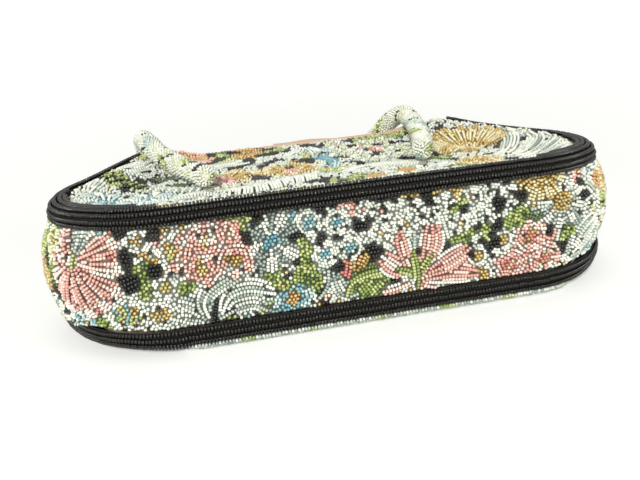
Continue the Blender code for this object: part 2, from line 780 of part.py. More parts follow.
def stiffening(finishes):
    """Buckram behind the beaded cloth, and the board in the base."""
    buckram, board = finishes["buckram"], finishes["board"]
    front_layer("front_stiffener", STIFFENER_DROP, STIFFENER_DROP + STIFFENER, buckram)
    back_layer("back_stiffener", STIFFENER_DROP, STIFFENER_DROP + STIFFENER, buckram)
    outer = BEAD_RELIEF_DROP + STIFFENER_DROP
    section = band_section(outer, outer + STIFFENER, TRIM_ON_GUSSET + GAP)
    stations = outline_stations(HEM_WIDTH + GAP)
    corner = SIDE_STEPS + ARC_STEPS - 1
    straight = stations[corner:-corner]
    first, last = straight[0], straight[-1]
    inward = Vector((GAP, 0.0))
    straight = [(first[0] + inward, first[1])] + straight[1:-1] + [(last[0] - inward, last[1])]
    sweep_section("base_board", straight, section, board)
    sweep_section("left_side_stiffener", stations[:corner], section, buckram)
    sweep_section("right_side_stiffener", stations[-corner:], section, buckram)


def lining(finishes):
    """Satin lining, hems and the inner pocket."""
    satin = finishes["satin"]
    front_layer("front_lining", LINING_DROP, INNER_DROP, satin)
    back_layer("back_lining", LINING_DROP, INNER_DROP, satin)
    outer = BEAD_RELIEF_DROP + LINING_DROP
    section = band_section(outer, outer + LINING, TRIM_ON_GUSSET + GAP)
    sweep_section("gusset_lining", outline_stations(HEM_WIDTH + GAP), section, satin)
    mouth_hem("front_mouth_hem", front_columns, front_face, 1, satin)
    mouth_hem("back_mouth_hem", back_columns, back_face, -1, satin)
    side_hem("left_side_hem", -1, satin)
    side_hem("right_side_hem", 1, satin)
    work = bmesh.new()
    floor = INNER_DROP + GAP
    low = (-POCKET_WIDTH / 2, POCKET_MIDDLE_Y - POCKET_DEPTH / 2, floor)
    high = (POCKET_WIDTH / 2, POCKET_MIDDLE_Y + POCKET_DEPTH / 2, floor + POCKET_CLOTH)
    box(work, low, high)
    make_object("inner_pocket", work, satin, smooth=False)


def zip_closure(finishes):
    """Zip across the mouth: tapes, teeth, stops, slider, bail and pull."""
    tape, brass = finishes["zip_tape"], finishes["brass"]
    zip_tape("front_zip_tape", 1, ZIP_FRONT, tape)
    zip_tape("back_zip_tape", -1, ZIP_BACK, tape)
    zip_teeth("front_zip_teeth", 1, brass)
    zip_teeth("back_zip_teeth", -1, brass)
    # The zip is open: its slider rests by the bottom stop
    zip_stop("zip_bottom_stop", 1, ZIP_MIDDLE - TEETH_OUTER, ZIP_MIDDLE + TEETH_OUTER, brass)
    zip_stop("front_zip_top_stop", -1, ZIP_MIDDLE + TEETH_SLOT / 2, ZIP_MIDDLE + TEETH_OUTER, brass)
    zip_stop("back_zip_top_stop", -1, ZIP_MIDDLE - TEETH_OUTER, ZIP_MIDDLE - TEETH_SLOT / 2, brass)
    zip_slider(brass)
    zip_bail(brass)
    pull = zip_pull(brass)
    set_pivot(pull, (SLIDER_REST_X, PULL_Y, ZIP_MIDDLE))


def handles(finishes, front, back):
    """Both rope handles with their shanks, cords and sleeves."""
    beads, thread, cotton = finishes["handle_beads"], finishes["thread"], finishes["cotton_cord"]
    leg = HANDLE_SPREAD / 2
    front_places = (FRONT_HANDLE_OFFSET - leg, FRONT_HANDLE_OFFSET + leg)
    back_places = (-leg, leg)
    front_seat = max(shank_seat(front, x, True) for x in front_places)
    back_seat = min(shank_seat(back, x, False) for x in back_places)
    for side, front_x, back_x in zip(("left", "right"), front_places, back_places):
        handle_shank(f"front_handle_{side}_shank", front_x, front_seat, 1, thread)
        handle_shank(f"back_handle_{side}_shank", back_x, back_seat, -1, thread)
    standoff = SHANK_HEIGHT + GAP + HANDLE_END_SWEEP
    front_axis = (FRONT_HANDLE_OFFSET, HANDLE_Y, front_seat + standoff)
    back_axis = (0.0, HANDLE_Y, back_seat - standoff)
    plans = (
        ("front_handle", front_handle_route(front_axis[2]), front_axis),
        ("back_handle", back_handle_route(back_axis[2]), back_axis),
    )
    for name, corners, axis in plans:
        route, length = smooth_route(corners, HANDLE_STATIONS)
        print(f"{name}: {length:.4f} m along its route, hinge line at y {axis[1]:.5f}, z {axis[2]:.5f}")
        set_pivot(handle_sleeve(name, route, beads), axis)
        set_pivot(handle_cord(name + "_cord", route, cotton), axis)


def main():
    """Builds the whole bag."""
    clear_scene()
    finishes = {
        "beaded_cloth": finish_material("beaded_cloth", (0.62, 0.63, 0.58), 0.35),
        "black_beads": finish_material("black_beads", (0.02, 0.017, 0.014), 0.25),
        "handle_beads": finish_material("handle_beads", (0.68, 0.69, 0.62), 0.35),
        "buckram": finish_material("buckram", (0.70, 0.66, 0.56), 0.9),
        "board": finish_material("board", (0.45, 0.40, 0.32), 0.85),
        "satin": finish_material("satin", (0.60, 0.47, 0.38), 0.4),
        "zip_tape": finish_material("zip_tape", (0.52, 0.41, 0.32), 0.8),
        "brass": finish_material("brass", (0.72, 0.58, 0.30), 0.3, 1.0),
        "thread": finish_material("thread", (0.75, 0.74, 0.68), 0.8),
        "cotton_cord": finish_material("cotton_cord", (0.80, 0.78, 0.70), 0.9),
    }
    front, back = beaded_shell(finishes)
    stiffening(finishes)
    lining(finishes)
    zip_closure(finishes)
    handles(finishes, front, back)
    print(f"zip: pull hinge x {SLIDER_REST_X:.5f}, y {PULL_Y:.5f}, z {ZIP_MIDDLE:.5f}")
    print(f"zip tapes: y {ZIP_Y:.5f}, z {ZIP_BACK:.5f} to {ZIP_FRONT:.5f}")


main()
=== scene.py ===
import math

import bmesh
import bpy
import numpy as np
from mathutils import Matrix, Vector


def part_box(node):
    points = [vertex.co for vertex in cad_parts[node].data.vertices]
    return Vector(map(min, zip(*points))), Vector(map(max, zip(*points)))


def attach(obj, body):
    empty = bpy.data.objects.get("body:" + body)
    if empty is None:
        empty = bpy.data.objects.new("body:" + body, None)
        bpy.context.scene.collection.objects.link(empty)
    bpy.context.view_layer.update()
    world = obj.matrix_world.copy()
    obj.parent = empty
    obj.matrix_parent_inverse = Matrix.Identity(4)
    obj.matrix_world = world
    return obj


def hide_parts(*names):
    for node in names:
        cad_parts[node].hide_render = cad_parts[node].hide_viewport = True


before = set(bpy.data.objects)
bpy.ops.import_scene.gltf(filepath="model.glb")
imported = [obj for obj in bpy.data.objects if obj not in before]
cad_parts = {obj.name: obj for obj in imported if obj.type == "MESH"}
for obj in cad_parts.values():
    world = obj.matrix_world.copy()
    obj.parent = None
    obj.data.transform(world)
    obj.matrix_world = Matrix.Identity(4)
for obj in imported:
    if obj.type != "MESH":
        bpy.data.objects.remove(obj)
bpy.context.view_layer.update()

# Every size below is in millimetres, in the row frame, and becomes metres when a mesh is made.
MM = 0.001
RAD = math.radians

# ---------------------------------------------------------------- sizes of the bag

LENGTH, HEIGHT, CORNER_RADIUS, MOUTH = 260.0, 134.0, 50.0, 172.0
FRONT_AT_BASE, FRONT_AT_MOUTH, FRONT_DIP = 64.0, 60.8, 2.0
BACK_AT_BASE, BACK_AT_MOUTH = 5.5, 12.0
RELIEF_DROP, CLOTH, STIFFENER, LINING, GAP = 0.8, 2.4, 1.2, 0.8, 0.3
FRONT_SAG, FRONT_SAG_RUN, MOUTH_SAG, MOUTH_RUN, BACK_BULGE_RUN = 5.6, 24.0, 4.2, 40.0, 20.0
TRIM_ON_PANEL, TRIM_ON_GUSSET, TRIM_CORNER, KNOT = 8.0, 7.0, 4.0, 3.2
HEM_WIDTH = 2.4
# Left of here the front panel's beads lie over the hem of the mouth
HEM_SHOWS_FROM = -20.0
# The back panel puffs out below its trim: what share of its height, and how far in
PUFF, PUFF_RUN = 0.8, 4.0
# The front trim is drawn in round both ends of the bag, and settles a little at the right one
TRIM_DRAWN_IN, TRIM_SETTLED = 2.4, 1.1
# The back trim hangs a little over the base, and the back panel's beads stand out below it
TRIM_HANGS = 1.5
# Beads of the cloth lap over the trims' flanges: how far on the panel, along base and sides, and on the gusset
LAP_ON_PANEL, LAP_ON_GUSSET = 3.2, 0.3
# Round the left end the gusset stands out over the lower trim, and comes down over it
LEFT_SAG, LEFT_LAP = 2.4, 2.6
# How far the back panel's beads come round the lower trim along the base
BASE_LAP = 4.2
# Beads of the front panel rise where they lap over the trim's flange and over the hem, within these distances
LAP_RISE, LAP_RISE_RUN, HEM_RISE, HEM_RISE_RUN = 1.1, 4.0, 0.5, 8.0
# The gusset puffs out along the base, and more round the corners
BAND_PUFF, BAND_PUFF_ENDS = 1.2, 4.4
# The fold below the handle's right foot: its height on the panel, its width and its depth
FOLD_Y, FOLD_WIDE, FOLD_DEEP = 8.0, 3.2, 1.1
# Spans for between(): where each begins, how long it rises, where it ends and how long it falls
FOLD_SPAN, LEFT_END_SPAN = (10.0, 14.0, 70.0, 12.0), (116.0, 20.0, 176.0, 24.0)
BASE_SPAN, HANG_SPAN, HANG_ACROSS = (-84.0, 14.0, 92.0, 20.0), (-108.0, 30.0, 100.0, 30.0), (0.0, 3.0, 7.0, 5.0)
HANDLE_SPREAD, HANDLE_Y, HANDLE_RADIUS, HANDLE_OFFSET = 104.0, -14.0, 5.5, -5.0
CHANNEL_FLAT, CHANNEL_SLOPE, CHANNEL_LEAD, CHANNEL_HEIGHT = 7.0, 10.0, 10.0, 12.6
FRONT_AXIS_Z, BACK_AXIS_Z, BACK_REACH = 61.39, 5.8, 104.5

# Seed beads: width across the thread, length along it, and the distance between rows
BEAD, BEAD_LONG, ROW = 1.72, 1.41, 1.74
TRIM_BEAD, TRIM_LONG, TRIM_ROW = 2.04, 1.32, 2.08

BASE_Y, MOUTH_Y = -HEIGHT / 2, HEIGHT / 2
CORNER_X, CORNER_Y = LENGTH / 2 - CORNER_RADIUS, BASE_Y + CORNER_RADIUS
PANEL_INSET = TRIM_ON_PANEL + GAP


def side_angle():
    """Direction in which the straight side leaves the base corner."""
    across, along = MOUTH / 2 - CORNER_X, MOUTH_Y - CORNER_Y
    return math.atan2(along, across) - math.acos(CORNER_RADIUS / math.hypot(across, along))


SIDE_ANGLE = side_angle()
SIDE_NORMAL = np.array([math.cos(SIDE_ANGLE), math.sin(SIDE_ANGLE)])
SIDE_ALONG = np.array([-SIDE_NORMAL[1], SIDE_NORMAL[0]])
SIDE_START = np.array([CORNER_X, CORNER_Y]) + SIDE_NORMAL * CORNER_RADIUS
ARC_RUN = CORNER_RADIUS * (SIDE_ANGLE + math.pi / 2)
SIDE_RUN = float(np.hypot(*(np.array([MOUTH / 2, MOUTH_Y]) - SIDE_START)))
ROUND_END = CORNER_X + ARC_RUN
HALF_RUN = ROUND_END + SIDE_RUN
# Spans that hang on the outline: where the front trim is drawn in, where it is bare, and where it has settled
DRAWN_SPAN, BARE_SPAN = (CORNER_X, 40.0, ROUND_END, 50.0), (CORNER_X - 4.0, 22.0, ROUND_END - 34.0, 30.0)
SETTLED_SPAN = (CORNER_X, 60.0, HALF_RUN - 30.0, 24.0)


def soft(value):
    """0 below 0, 1 above 1, and a soft rise between."""
    held = np.clip(value, 0.0, 1.0)
    return held * held * (3.0 - 2.0 * held)


def between(value, low, rise, high, fall):
    """0 up to low, 1 after a soft rise, and 0 again after a soft fall from high on."""
    return soft((value - low) / rise) * (1.0 - soft((value - high) / fall))


# ---------------------------------------------------------------- surfaces of the bag

def outline(run):
    """Points and outward normals of the outline, at a run in mm from the middle of the base."""
    run = np.asarray(run, float)
    far, side = np.abs(run), np.where(run < 0, -1.0, 1.0)
    angle = -math.pi / 2 + np.clip((far - CORNER_X) / CORNER_RADIUS, 0.0, SIDE_ANGLE + math.pi / 2)
    over = np.maximum(far - CORNER_X - ARC_RUN, 0.0)
    nx, ny = np.cos(angle), np.sin(angle)
    x = np.minimum(far, CORNER_X) + CORNER_RADIUS * nx + over * SIDE_ALONG[0]
    y = CORNER_Y + CORNER_RADIUS * ny + over * SIDE_ALONG[1]
    return side * x, y, side * nx, ny


def up_the_bag(y):
    return (y - BASE_Y) / HEIGHT


def front_edge(y):
    share = up_the_bag(y)
    return FRONT_AT_BASE + (FRONT_AT_MOUTH - FRONT_AT_BASE) * share - FRONT_DIP * 4.0 * share * (1.0 - share)


def back_edge(y):
    return BACK_AT_BASE + (BACK_AT_MOUTH - BACK_AT_BASE) * up_the_bag(y)


def edge_distance(x, y):
    """How far a point lies inside the base and the sides."""
    ax = np.abs(x)
    cx, cy = ax - CORNER_X, y - CORNER_Y
    in_corner = (cx > 0) & (np.arctan2(cy, cx) < SIDE_ANGLE)
    side = (MOUTH / 2 - ax) * SIDE_NORMAL[0] + (MOUTH_Y - y) * SIDE_NORMAL[1]
    return np.where(in_corner, CORNER_RADIUS - np.hypot(cx, cy), np.minimum(y - BASE_Y, side))


def half_length(y, inset):
    """Half length of the outline at a height above the base, drawn in by an inset."""
    y = np.asarray(y, float)
    reach = CORNER_RADIUS - inset
    arc = CORNER_X + np.sqrt(np.maximum(reach ** 2 - (y - CORNER_Y) ** 2, 0.0))
    start = np.array([CORNER_X, CORNER_Y]) + SIDE_NORMAL * reach
    straight = start[0] + (y - start[1]) * SIDE_ALONG[0] / SIDE_ALONG[1]
    return np.where(y < start[1], arc, straight)


def crease(x, y):
    """Fold that runs across the front panel below the right foot of the handle."""
    return FOLD_DEEP * between(x, *FOLD_SPAN) * np.exp(-((y - FOLD_Y) / FOLD_WIDE) ** 2)


def over_hem(x):
    """Share by which the front panel's beads lie over the hem of the mouth."""
    return 1.0 - soft((x - HEM_SHOWS_FROM + HEM_RISE_RUN) / HEM_RISE_RUN)


def front_face(x, y):
    """Tops of the beads on the front panel."""
    within = edge_distance(x, y) - PANEL_INSET
    sag = MOUTH_SAG + (FRONT_SAG - MOUTH_SAG) * soft((MOUTH_Y - y) / MOUTH_RUN)
    lapped = LAP_RISE * (1.0 - soft((within + 1.0) / LAP_RISE_RUN))
    raised = HEM_RISE * soft((y - MOUTH_Y + 2 * HEM_WIDTH) / HEM_WIDTH) * over_hem(x)
    return front_edge(y) - RELIEF_DROP - sag * soft(within / FRONT_SAG_RUN) - crease(x, y) + lapped + raised


def back_face(x, y):
    """Tops of the beads on the back panel, pushed in over the legs of the back handle."""
    within = edge_distance(x, y) - PANEL_INSET
    inward = np.minimum(within, MOUTH_Y - HEM_WIDTH - GAP - y)
    puffed = np.clip((within + GAP) / PUFF_RUN, 0.0, 1.0)
    puff = np.sqrt(1.0 - (1.0 - puffed) ** 2) * soft((MOUTH_Y - y) / MOUTH_RUN)
    bulged = (back_edge(y) + RELIEF_DROP) * (1.0 - soft(inward / BACK_BULGE_RUN)) * (1.0 - PUFF * puff)
    beside = np.abs(np.abs(x) - HANDLE_SPREAD / 2)
    across = soft((CHANNEL_FLAT + CHANNEL_SLOPE - beside) / CHANNEL_SLOPE)
    along = soft((y - HANDLE_Y + CHANNEL_FLAT + CHANNEL_LEAD) / CHANNEL_LEAD)
    return np.maximum(bulged, CHANNEL_HEIGHT * across * along)


def left_end(run):
    """Share by which the gusset sags over the lower trim round the left end."""
    return between(-run, *LEFT_END_SPAN)


def band_bulge(run, rise, tall):
    """How far the soft gusset puffs out between its trims."""
    share = np.clip((rise - TRIM_ON_GUSSET) / (tall - 2 * TRIM_ON_GUSSET), 0.0, 1.0)
    far = np.abs(run)
    side = 1.0 - 0.6 * soft((far - ROUND_END) / 60.0)
    reach = BAND_PUFF + BAND_PUFF_ENDS * soft((far - CORNER_X) / 55.0) * side
    return reach * 4.0 * share * (1.0 - share) + LEFT_SAG * left_end(run) * (1.0 - share) ** 3


def band_height(run):
    """Height of the gusset between the edges of the two panels."""
    _, y, _, _ = outline(run)
    return front_edge(y) - back_edge(y)


def band_point(run, rise, depth=0.0):
    """A point of the gusset, rise mm above its back edge and depth mm under the bead tops."""
    x, y, nx, ny = outline(run)
    low = back_edge(y)
    inset = RELIEF_DROP + depth - band_bulge(run, rise, front_edge(y) - low)
    return np.stack([x - nx * inset, y - ny * inset, low + rise], -1)


def front_point(x, y, depth=0.0):
    return np.stack([x, y, front_face(x, y) - depth], -1)


def back_point(x, y, depth=0.0):
    return np.stack([x, y, back_face(x, y) + depth], -1)


TRIM_FLAT, TRIM_ARC = TRIM_ON_PANEL - TRIM_CORNER, TRIM_CORNER * math.pi / 2
TRIM_WIDE = TRIM_FLAT + TRIM_ARC + TRIM_ON_GUSSET - TRIM_CORNER


def drawn_in(run):
    """Share by which the soft ends of the bag let the front trim in."""
    return between(np.abs(run), *DRAWN_SPAN)


def at_base(run):
    """Share by which a place on the outline belongs to the base, where the back panel stands out below its trim."""
    return between(run, *BASE_SPAN)


def base_lap(run):
    """How far the back panel's beads come round the lower trim."""
    return BASE_LAP * at_base(run)


def panel_lap(run):
    """How much of the trim's flange the front panel's beads lap over: little at the round corners."""
    far = np.abs(run)
    bare = between(far, *BARE_SPAN)
    return (LAP_ON_PANEL + 1.5 * soft((far - ROUND_END + 10.0) / 20.0)) * (1.0 - bare)


def trim_point(run, across, edge, direction, depth=0.0):
    """A point of a trim, across mm round its L from the panel side."""
    x, y, nx, ny = outline(run)
    turn = np.clip((across - TRIM_FLAT) / TRIM_CORNER, 0.0, math.pi / 2)
    inset = TRIM_CORNER - (TRIM_CORNER - depth) * np.sin(turn) + np.maximum(TRIM_FLAT - across, 0.0)
    down = TRIM_CORNER - (TRIM_CORNER - depth) * np.cos(turn) + np.maximum(across - TRIM_FLAT - TRIM_ARC, 0.0)
    if direction < 0:
        inset = inset + TRIM_DRAWN_IN * drawn_in(run)
        sunk = TRIM_SETTLED * between(run, *SETTLED_SPAN)
    else:
        inset = inset + left_end(run)
        sunk = TRIM_HANGS * between(run, *HANG_SPAN) * between(across, *HANG_ACROSS)
    return np.stack([x - nx * inset, y - ny * inset, edge(y) + direction * down - sunk], -1)


def front_trim_point(run, across, depth=0.0):
    return trim_point(run, across, front_edge, -1.0, depth)


def back_trim_point(run, across, depth=0.0):
    return trim_point(run, across, back_edge, 1.0, depth)


# ---------------------------------------------------------------- materials

# How far threads and grain stand out, in metres
BUMP_HEIGHT = 0.0002


def linear(code, alpha=1.0):
    """sRGB hex to linear colour."""
    parts = [int(code[i:i + 2], 16) / 255.0 for i in (1, 3, 5)]
    return (*[p / 12.92 if p <= 0.04045 else ((p + 0.055) / 1.055) ** 2.4 for p in parts], alpha)


def new_material(name, values):
    """A material with constants on its shader's own sockets."""
    made = bpy.data.materials.new(name)
    made.use_nodes = True
    shader = made.node_tree.nodes["Principled BSDF"]
    for key, value in values.items():
        shader.inputs[key].default_value = value
    return made, made.node_tree, shader


def feed(tree, made, *first, **links):
    """Links sockets to a node's inputs: in their order, or by name with _ for a space."""
    for index, socket in enumerate(first):
        tree.links.new(socket, made.inputs[index])
    for key, socket in links.items():
        tree.links.new(socket, made.inputs[key.replace("_", " ")])


def node(tree, kind, values=None, *first, **links):
    """Adds a node, sets its properties and input values, and feeds it sockets."""
    made = tree.nodes.new(kind)
    for key, value in (values or {}).items():
        if key in made.inputs:
            made.inputs[key].default_value = value
        else:
            setattr(made, key, value)
    feed(tree, made, *first, **links)
    return made


def coordinates(tree, output):
    return node(tree, "ShaderNodeTexCoord").outputs[output]


def noise(tree, scale, detail):
    """Share of a noise on Object coordinates, whose scale is per metre."""
    values = {"Scale": scale, "Detail": detail}
    return node(tree, "ShaderNodeTexNoise", values, Vector=coordinates(tree, "Object")).outputs["Fac"]


def bump(tree, height, strength):
    values = {"Strength": strength, "Distance": BUMP_HEIGHT}
    return node(tree, "ShaderNodeBump", values, Height=height).outputs["Normal"]


def ramp(tree, source, stops):
    """A colour ramp through (place, hex) stops."""
    made = node(tree, "ShaderNodeValToRGB", Fac=source)
    band = made.color_ramp
    while len(band.elements) < len(stops):
        band.elements.new(0.5)
    for element, (place, code) in zip(band.elements, stops):
        element.position = place
        element.color = linear(code)
    return made.outputs["Color"]


def weave(tree, scale, strength):
    """Two crossed sets of threads on the UV map, about 3.2 threads a metre for each unit of scale."""
    place = coordinates(tree, "UV")
    warp, weft = (node(tree, "ShaderNodeTexWave", {"Scale": scale, "bands_direction": way}, Vector=place)
                  for way in ("X", "Y"))
    both = node(tree, "ShaderNodeMath", {"operation": "MULTIPLY"}, warp.outputs["Fac"], weft.outputs["Fac"])
    return both.outputs["Value"], bump(tree, both.outputs["Value"], strength)


def glass_beads():
    """Pressed glass seed beads with a soft lustre, silver-lined as far as the attribute's alpha says."""
    made, tree, shader = new_material("lustre_glass_seed_beads", {
        "Roughness": 0.24, "IOR": 1.5, "Coat Weight": 0.35, "Coat Roughness": 0.08})
    paint = node(tree, "ShaderNodeAttribute", {"attribute_name": "Bead"})
    shade = node(tree, "ShaderNodeMapRange", {"To Min": 0.86, "To Max": 1.08}, Value=noise(tree, 900.0, 1.0))
    tint = node(tree, "ShaderNodeVectorMath", {"operation": "SCALE"}, paint.outputs["Color"],
                Scale=shade.outputs["Result"])
    feed(tree, shader, Base_Color=tint.outputs["Vector"], Metallic=paint.outputs["Alpha"])
    return made


def backing_with_painted_shade():
    """Plain cotton under the beads, painted a darker shade of the beads over it: painted shade between the beads,
    tinted like the light that comes through them.
    """
    made, tree, shader = new_material("cotton_backing_under_glass", {"Roughness": 0.95})
    paint = node(tree, "ShaderNodeAttribute", {"attribute_name": "Bead"})
    feed(tree, shader, Base_Color=paint.outputs["Color"], Normal=weave(tree, 1100.0, 0.4)[1])
    return made


def jet_beads():
    """Opaque jet glass seed beads: deep black with one sharp highlight on each."""
    made, tree, shader = new_material("jet_glass_seed_beads", {
        "Roughness": 0.2, "IOR": 1.5, "Specular IOR Level": 0.5})
    feed(tree, shader, Base_Color=ramp(tree, noise(tree, 420.0, 1.0), ((0.35, "#0A0905"), (0.65, "#18150D"))))
    return made


def cloth(name, dark, light, roughness, threads, sheen=0.0, strength=0.4):
    """Woven cloth on the piece's own UV map, whose unit is one metre."""
    made, tree, shader = new_material(name, {
        "Roughness": roughness, "Sheen Weight": sheen, "Sheen Roughness": 0.4})
    shade, normal = weave(tree, threads, strength)
    feed(tree, shader, Base_Color=ramp(tree, shade, ((0.0, dark), (1.0, light))), Normal=normal)
    return made


def solid_grain(name, dark, light, roughness, scale, strength=0.2, metallic=0.0):
    """A material with a fine grain on Object coordinates."""
    made, tree, shader = new_material(name, {"Roughness": roughness, "Metallic": metallic})
    grain = noise(tree, scale, 4.0)
    feed(tree, shader, Base_Color=ramp(tree, grain, ((0.3, dark), (0.7, light))),
         Normal=bump(tree, grain, strength))
    return made


FINISH = {
    "beads": glass_beads(),
    "jet": jet_beads(),
    # Cotton under the beads, painted a darker shade of them as the shade between the beads
    "ground": backing_with_painted_shade(),
    # Plain cotton under the trims' beads, painted dark as the shade between them, 35 threads a cm
    "backing": cloth("dark_dyed_cotton_backing", "#0D0B09", "#1A1713", 0.95, 1100.0),
    # Rayon satin: smooth long floats with a soft sheen, 29 threads a cm
    "satin": cloth("tan_rayon_satin", "#BD9F84", "#D6BDA3", 0.42, 900.0, sheen=0.35, strength=0.15),
    # Zip tape, matt cotton and polyester, 32 threads a cm
    "tape": cloth("tan_woven_zip_tape", "#8F7358", "#B79A7B", 0.85, 1000.0),
    # Buckram: glued open cotton weave, pale and stiff
    "buckram": solid_grain("glued_cotton_buckram", "#CFC7AE", "#E2DBC4", 0.92, 900.0),
    "board": solid_grain("grey_pulp_board", "#7A6C59", "#94846E", 0.9, 500.0),
    # Cast and plated brass, lightly rubbed
    "brass": solid_grain("plated_brass", "#B98F45", "#D3AB62", 0.3, 700.0, strength=0.05, metallic=1.0),
    # Waxed linen beading thread
    "thread": solid_grain("waxed_beading_thread", "#8E8A78", "#B0AC9A", 0.7, 2500.0),
    "cotton": solid_grain("soft_cotton_cord", "#D2CBB6", "#E8E2D0", 0.95, 1800.0),
}
# Material, body and slot of the beads on the cloth and on the trims
ON_CLOTH, ON_TRIM = (FINISH["beads"], "bag", "beaded_cloth"), (FINISH["jet"], "bag", "black_beads")


# ---------------------------------------------------------------- making meshes

def new_object(name, data):
    made = bpy.data.objects.new(name, data)
    bpy.context.scene.collection.objects.link(made)
    return made


def set_out(name, mesh, material, body):
    """A finished object of a mesh in metres, riding on a body."""
    mesh.materials.append(material)
    piece = new_object(name, mesh)
    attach(piece, body)
    return piece


def finish_piece(name, work, material, body):
    """Turns a bmesh in mm into a finished piece in metres, riding on a body."""
    bmesh.ops.scale(work, verts=work.verts, vec=(MM, MM, MM))
    mesh = bpy.data.meshes.new(name)
    work.to_mesh(mesh)
    work.free()
    mesh.shade_smooth()
    mesh.set_sharp_from_angle(angle=math.radians(40.0))
    return set_out(name, mesh, material, body)


def sheet_work(place, u_range, v_range, steps, thickness):
    """A cloth sheet: a grid whose points go where place(u, v) says, thickened. Its UV map is in metres."""
    work = bmesh.new()
    uv = work.loops.layers.uv.new("UVMap")
    bmesh.ops.create_grid(work, x_segments=steps[0], y_segments=steps[1], size=1.0)
    spots = np.array([v.co for v in work.verts])
    u = u_range[0] + (u_range[1] - u_range[0]) * (spots[:, 0] + 1) / 2
    v = v_range[0] + (v_range[1] - v_range[0]) * (spots[:, 1] + 1) / 2
    placed = place(u, v)
    for face in work.faces:
        for loop in face.loops:
            i = loop.vert.index
            loop[uv].uv = (u[i] * MM, v[i] * MM)
    for vert, spot in zip(list(work.verts), placed):
        vert.co = spot
    bmesh.ops.remove_doubles(work, verts=work.verts, dist=0.01)
    bmesh.ops.solidify(work, geom=work.faces[:], thickness=thickness)
    bmesh.ops.recalc_face_normals(work, faces=work.faces)
    return work


# How much of its square of the UV map a bead takes up, and how far its far side leans out there
UV_SHARE, UV_LEAN = 0.36, 0.3


def bead_shape(around, along, fullness):
    """One seed bead 1 wide and 1 long, its hole along Z: round, with flatter ends."""
    work = bmesh.new()
    bmesh.ops.create_uvsphere(work, u_segments=around, v_segments=along, radius=0.5)
    for vert in work.verts:
        wide = math.hypot(vert.co.x, vert.co.y)
        if wide < 0.05:
            vert.co.z *= 0.86
        elif wide < 0.45:
            vert.co.xy *= 1.0 + fullness * (0.5 - wide)
    bmesh.ops.recalc_face_normals(work, faces=work.faces)
    return work


def template(around, along, fullness):
    """The bead's points, face sizes and face corners as arrays."""
    work = bead_shape(around, along, fullness)
    work.verts.ensure_lookup_table()
    points = np.array([v.co for v in work.verts])
    sizes = np.array([len(f.verts) for f in work.faces])
    corners = np.array([v.index for f in work.faces for v in f.verts])
    work.free()
    return points, sizes, corners


FIELD_BEAD, TRIM_SHAPE = template(6, 4, 0.9), template(8, 4, 1.8)


def strew(name, beads, material, body, slot, shape=FIELD_BEAD):
    """One piece of many beads. beads holds centre, along, up, wide, long and paint for each bead, in mm."""
    count = len(beads["wide"])
    along, up = beads["along"], beads["up"]
    across = np.cross(up, along)
    p, face_sizes, face_corners = shape
    spread = (across[:, None] * p[None, :, 0:1] + up[:, None] * p[None, :, 1:2]) * beads["wide"][:, None, None]
    spread += along[:, None] * p[None, :, 2:3] * beads["long"][:, None, None]
    points = (beads["centre"][:, None] + spread).reshape(-1, 3) * MM
    offsets = np.arange(count)[:, None] * len(p)
    corners = (face_corners[None] + offsets).reshape(-1)
    sizes = np.tile(face_sizes, count)
    mesh = bpy.data.meshes.new(name)
    mesh.vertices.add(len(points))
    mesh.vertices.foreach_set("co", points.reshape(-1).astype(np.float32))
    mesh.loops.add(len(corners))
    mesh.loops.foreach_set("vertex_index", corners.astype(np.int32))
    mesh.polygons.add(len(sizes))
    starts = np.concatenate([[0], np.cumsum(sizes)[:-1]])
    mesh.polygons.foreach_set("loop_start", starts.astype(np.int32))
    mesh.update(calc_edges=True)
    paint = mesh.attributes.new("Bead", "FLOAT_COLOR", "POINT")
    paint.data.foreach_set("color", np.repeat(beads["paint"], len(p), 0).reshape(-1).astype(np.float32))
    # Each bead has a square of its own on the UV map, for the baked colours
    side = math.ceil(math.sqrt(count))
    spots = p[face_corners]
    local = 0.5 + UV_SHARE * (spots[:, :2] + spots[:, 2:] * UV_LEAN)
    origin = np.stack([np.arange(count) % side, np.arange(count) // side], -1)
    uv = ((origin[:, None] + local[None]) / side).reshape(-1)
    mesh.uv_layers.new(name="OFBake").uv.foreach_set("vector", uv.astype(np.float32))
    mesh.shade_smooth()
    return set_out(name, mesh, material, body)


def bead_set(centre, along, up, wide, long, paint):
    """Beads for strew. wide, long and paint may be one for all of them."""
    count = len(centre)
    return {"centre": np.asarray(centre), "along": np.asarray(along), "up": np.asarray(up),
            "wide": np.broadcast_to(wide, count), "long": np.broadcast_to(long, count),
            "paint": np.broadcast_to(paint, (count, 4))}


def strew_parts(name, beads, parts, *finish):
    """strew for each part of the beads: its name's ending and which beads it takes."""
    for part, pick in parts:
        strew(f"{name}_{part}", {key: values[pick] for key, values in beads.items()}, *finish)


def unit(v):
    return v / np.maximum(np.linalg.norm(v, axis=-1, keepdims=True), 1e-9)


def on_surface(point, u, v, turn, flip, depth):
    """Centre, thread direction and outward direction of beads at (u, v), turned from the u direction."""
    step = 0.4  # mm on either side, from which the slope of the surface is taken
    tu = point(u + step, v) - point(u - step, v)
    tv = point(u, v + step) - point(u, v - step)
    up = unit(np.cross(tu, tv)) * flip
    tu = unit(tu)
    tv = np.cross(up, tu) * flip
    along = tu * np.cos(turn)[:, None] + tv * np.sin(turn)[:, None]
    return point(u, v) - up * depth[:, None], unit(along), up


# ---------------------------------------------------------------- colours of the beads, how silver-lined each is

